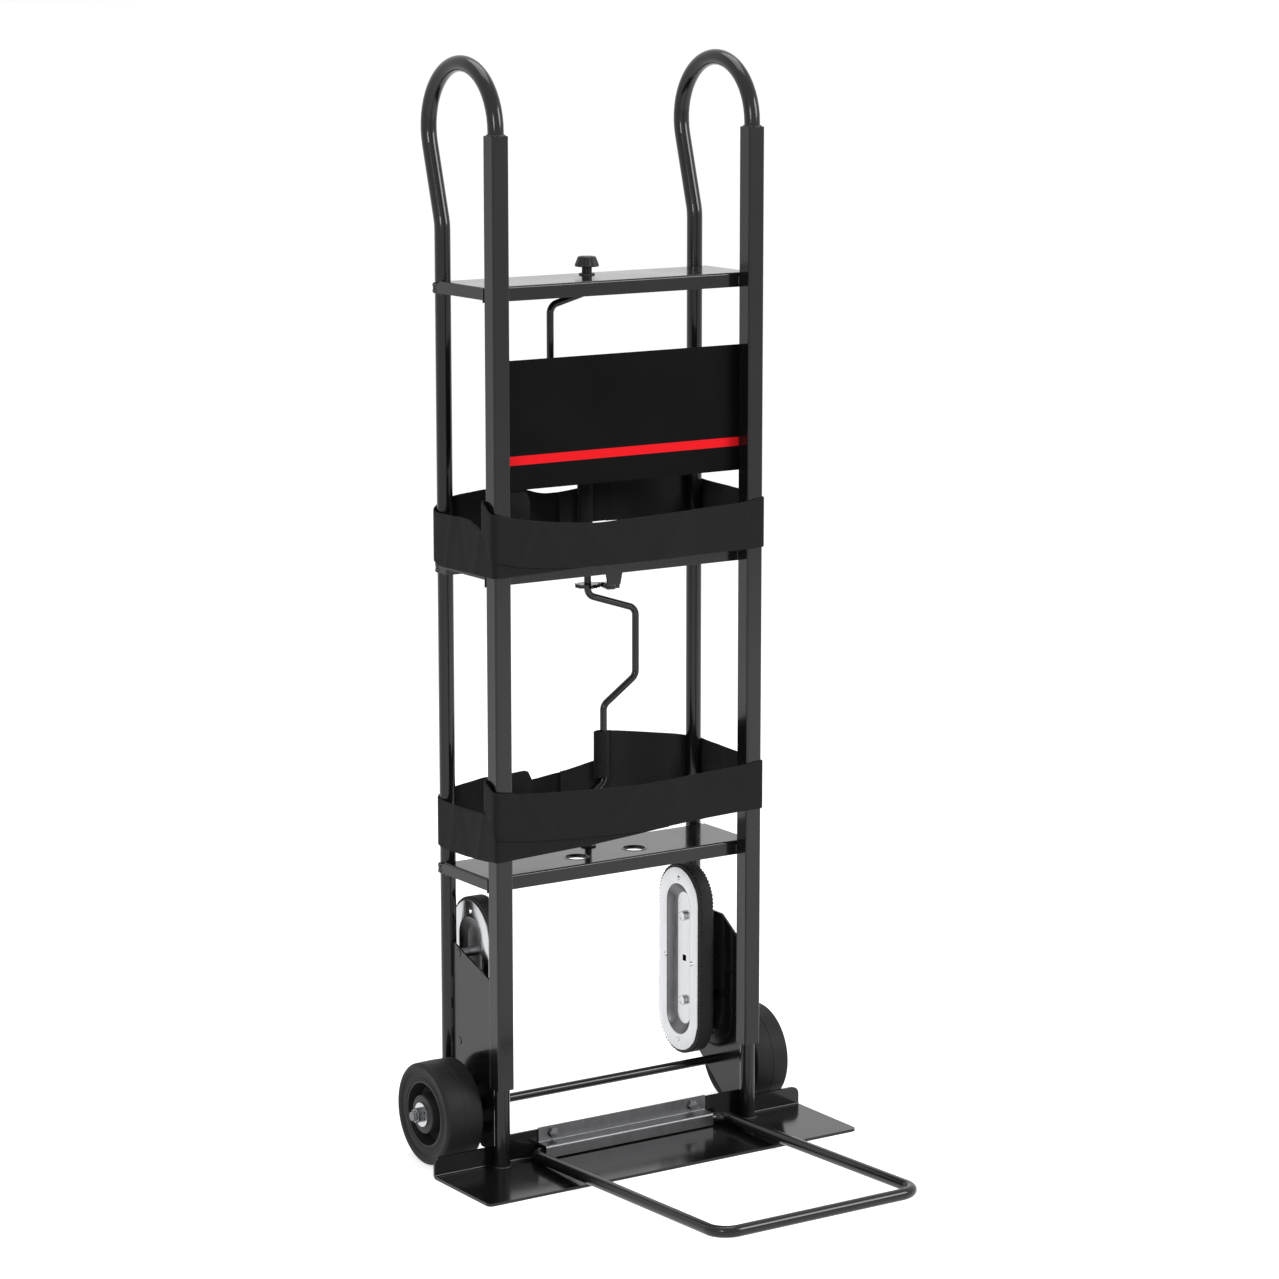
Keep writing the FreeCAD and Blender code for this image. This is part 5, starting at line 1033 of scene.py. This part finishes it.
class HANDTRUCK_OT_knob(HandTruckOperator, bpy.types.Operator):
    """Turns the winder's knob, with a fluted skirt"""
    bl_idname = "handtruck.knob"
    bl_label = "Winder knob"

    def execute(self, context):
        low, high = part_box("winder_knob")
        rise, middle = high[2] - low[2], 0.2 * MM
        floor = rise - 0.8 * MM
        # Radius, height and bend of each corner: the neck, the skirt, the top's edge, and the shallow dip in the top.
        neck = [(middle, 0, 0.01 * MM), (NECK_RADIUS, 0, 0.6 * MM), (NECK_RADIUS, NECK_HEIGHT, 0.8 * MM)]
        skirt = [(SKIRT_RADIUS, NECK_HEIGHT, 1.2 * MM), (16.4 * MM, SKIRT_HEIGHT, 2 * MM), (12.25 * MM, rise, 2 * MM)]
        dip = [(9 * MM, rise - 0.1 * MM, 0.3 * MM), (8 * MM, floor, 0.4 * MM), (middle, floor, 0.01 * MM)]
        profile = rounded(neck + skirt + dip, 6)
        grid = turned(profile, (0, WINDER_Y, low[2]), "z", KNOB_SEGMENTS)
        angle = np.linspace(0, TURN, KNOB_SEGMENTS, endpoint=False)[:, None]
        flute = 1 - FLUTE_SHARE * (0.5 + 0.5 * np.cos(FLUTES * angle)) * (profile[None, :, 0] > FLUTE_START)
        grid[..., 0] *= flute
        grid[..., 1] = WINDER_Y + (grid[..., 1] - WINDER_Y) * flute
        stand_in("winder_knob_fluted", [ring(grid)], "knob_plastic", "winder", ["winder_knob"])
        return {"FINISHED"}


# Soft boxes: name, place, aim, size in metres and power in watts.
SOFT_BOXES = (("key", (2.6, -3.4, 2.8), (0, 0, 0.7), 1.8, 102),
              ("fill", (-3.4, -2.6, 2.2), (0, 0, 0.7), 0.9, 36),
              ("top", (0.3, 0.6, 4.2), (0, 0, 0.5), 2.4, 60))
# The photograph's camera: place, aim, lens and frame width in millimetres, sideways shift, and reach in metres.
CAMERA_PLACE, CAMERA_AIM = (-2.9476, -4.4945, 1.7226), (0.02264, 0.0, 0.7222)
CAMERA_LENS, CAMERA_FRAME, CAMERA_SHIFT, CAMERA_REACH = 111.6, 36.0, -0.00086, 200
# Half of the floor's side in metres, its grey, and the share of its white that comes from itself.
FLOOR_HALF, FLOOR_GREY, FLOOR_GLOW = 60, (0.8, 0.8, 0.8, 1), 0.62
WHITE = (1, 1, 1, 1)


def aimed(name, data, place, aim):
    """A lamp or camera in the scene, at a place and turned towards an aim."""
    made = bpy.data.objects.new(name, data)
    made.location = place
    made.rotation_euler = (Vector(aim) - Vector(place)).to_track_quat("-Z", "Y").to_euler()
    bpy.context.scene.collection.objects.link(made)
    return made


def background_share(tree):
    """One for rays from the camera and for mirrored or refracted ones, otherwise zero."""
    path = add_node(tree, "ShaderNodeLightPath")
    both = add_node(tree, "ShaderNodeMath", {0: path.outputs["Is Camera Ray"], 1: path.outputs["Is Glossy Ray"]},
                    operation="MAXIMUM")
    return add_node(tree, "ShaderNodeMath", {0: both.outputs[0], 1: path.outputs["Is Transmission Ray"]},
                    operation="MAXIMUM").outputs[0]


def floor_finish():
    """A pale matt floor: part of its white comes from itself, so the far floor stays white and shadows stay soft."""
    made = bpy.data.materials.new("matt_white_floor")
    tree = bare_tree(made)
    matt = add_node(tree, "ShaderNodeBsdfDiffuse", {"Color": FLOOR_GREY})
    glow = add_node(tree, "ShaderNodeEmission", {"Color": WHITE, "Strength": FLOOR_GLOW})
    none = add_node(tree, "ShaderNodeEmission", {"Color": WHITE, "Strength": 0.0})
    seen = add_node(tree, "ShaderNodeMixShader", {0: background_share(tree), 1: none.outputs[0], 2: glow.outputs[0]})
    both = add_node(tree, "ShaderNodeAddShader", {0: matt.outputs[0], 1: seen.outputs[0]})
    add_node(tree, "ShaderNodeOutputMaterial", {"Surface": both.outputs[0]})
    return made


def studio_world():
    """White behind everything; the light that it gives is softer than that."""
    made = bpy.data.worlds.new("studio")
    tree = bare_tree(made)
    fill = add_node(tree, "ShaderNodeBackground", {"Color": WHITE, "Strength": 0.5})
    back = add_node(tree, "ShaderNodeBackground", {"Color": WHITE, "Strength": 1.0})
    both = add_node(tree, "ShaderNodeMixShader", {0: background_share(tree), 1: fill.outputs[0], 2: back.outputs[0]})
    add_node(tree, "ShaderNodeOutputWorld", {"Surface": both.outputs[0]})
    return made


class HANDTRUCK_OT_stage(HandTruckOperator, bpy.types.Operator):
    """Sets up the floor, the studio light and the camera"""
    bl_idname = "handtruck.stage"
    bl_label = "Studio"

    def execute(self, context):
        scene = context.scene
        scene.view_settings.view_transform = "Standard"
        scene.world = studio_world()
        ends = np.array([-1.0, 1.0]) * FLOOR_HALF
        grid = np.stack(np.meshgrid(ends, ends, indexing="ij") + [np.zeros((2, 2))], axis=-1)
        vertices, cells, _ = skin(grid)
        mesh = bpy.data.meshes.new("studio_floor")
        mesh.from_pydata(vertices.tolist(), [], cells.tolist())
        mesh.materials.append(floor_finish())
        floor = bpy.data.objects.new("studio_floor", mesh)
        scene.collection.objects.link(floor)
        for name, place, aim, size, power in SOFT_BOXES:
            lamp = bpy.data.lights.new("soft_box_" + name, "AREA")
            lamp.shape, lamp.size, lamp.energy = "SQUARE", size, power
            aimed("soft_box_" + name, lamp, place, aim)
        camera = bpy.data.cameras.new("photo_camera")
        camera.sensor_width, camera.lens, camera.shift_x = CAMERA_FRAME, CAMERA_LENS, CAMERA_SHIFT
        camera.clip_end = CAMERA_REACH
        scene.camera = aimed("photo_camera", camera, CAMERA_PLACE, CAMERA_AIM)
        return {"FINISHED"}


OPERATORS = (HANDTRUCK_OT_finish, HANDTRUCK_OT_straps, HANDTRUCK_OT_tyres, HANDTRUCK_OT_hubs, HANDTRUCK_OT_belts,
             HANDTRUCK_OT_welds, HANDTRUCK_OT_fasteners, HANDTRUCK_OT_plates, HANDTRUCK_OT_sides,
             HANDTRUCK_OT_collars, HANDTRUCK_OT_knob, HANDTRUCK_OT_stage)


class HANDTRUCK_PT_panel(bpy.types.Panel):
    """Lists the steps and the settings"""
    bl_label = "Hand truck"
    bl_idname = "HANDTRUCK_PT_panel"
    bl_space_type = "VIEW_3D"
    bl_region_type = "UI"
    bl_category = "Hand truck"

    def draw(self, context):
        for name, group in GROUPS:
            settings = getattr(context.scene, name)
            for setting in group.__annotations__:
                self.layout.prop(settings, setting)
        for step in OPERATORS:
            self.layout.operator(step.bl_idname)


def register():
    """Registers the settings, the operators and the panel."""
    for name, group in GROUPS:
        bpy.utils.register_class(group)
        setattr(bpy.types.Scene, name, bpy.props.PointerProperty(type=group))
    for step in OPERATORS + (HANDTRUCK_PT_panel,):
        bpy.utils.register_class(step)


def unregister():
    """Takes them out again."""
    for step in reversed(OPERATORS + (HANDTRUCK_PT_panel,)):
        bpy.utils.unregister_class(step)
    for name, group in reversed(GROUPS):
        delattr(bpy.types.Scene, name)
        bpy.utils.unregister_class(group)


def main():
    """Makes every piece in order."""
    register()
    for step in OPERATORS:
        family, name = step.bl_idname.split(".")
        getattr(getattr(bpy.ops, family), name)()


if __name__ == "__main__":
    main()
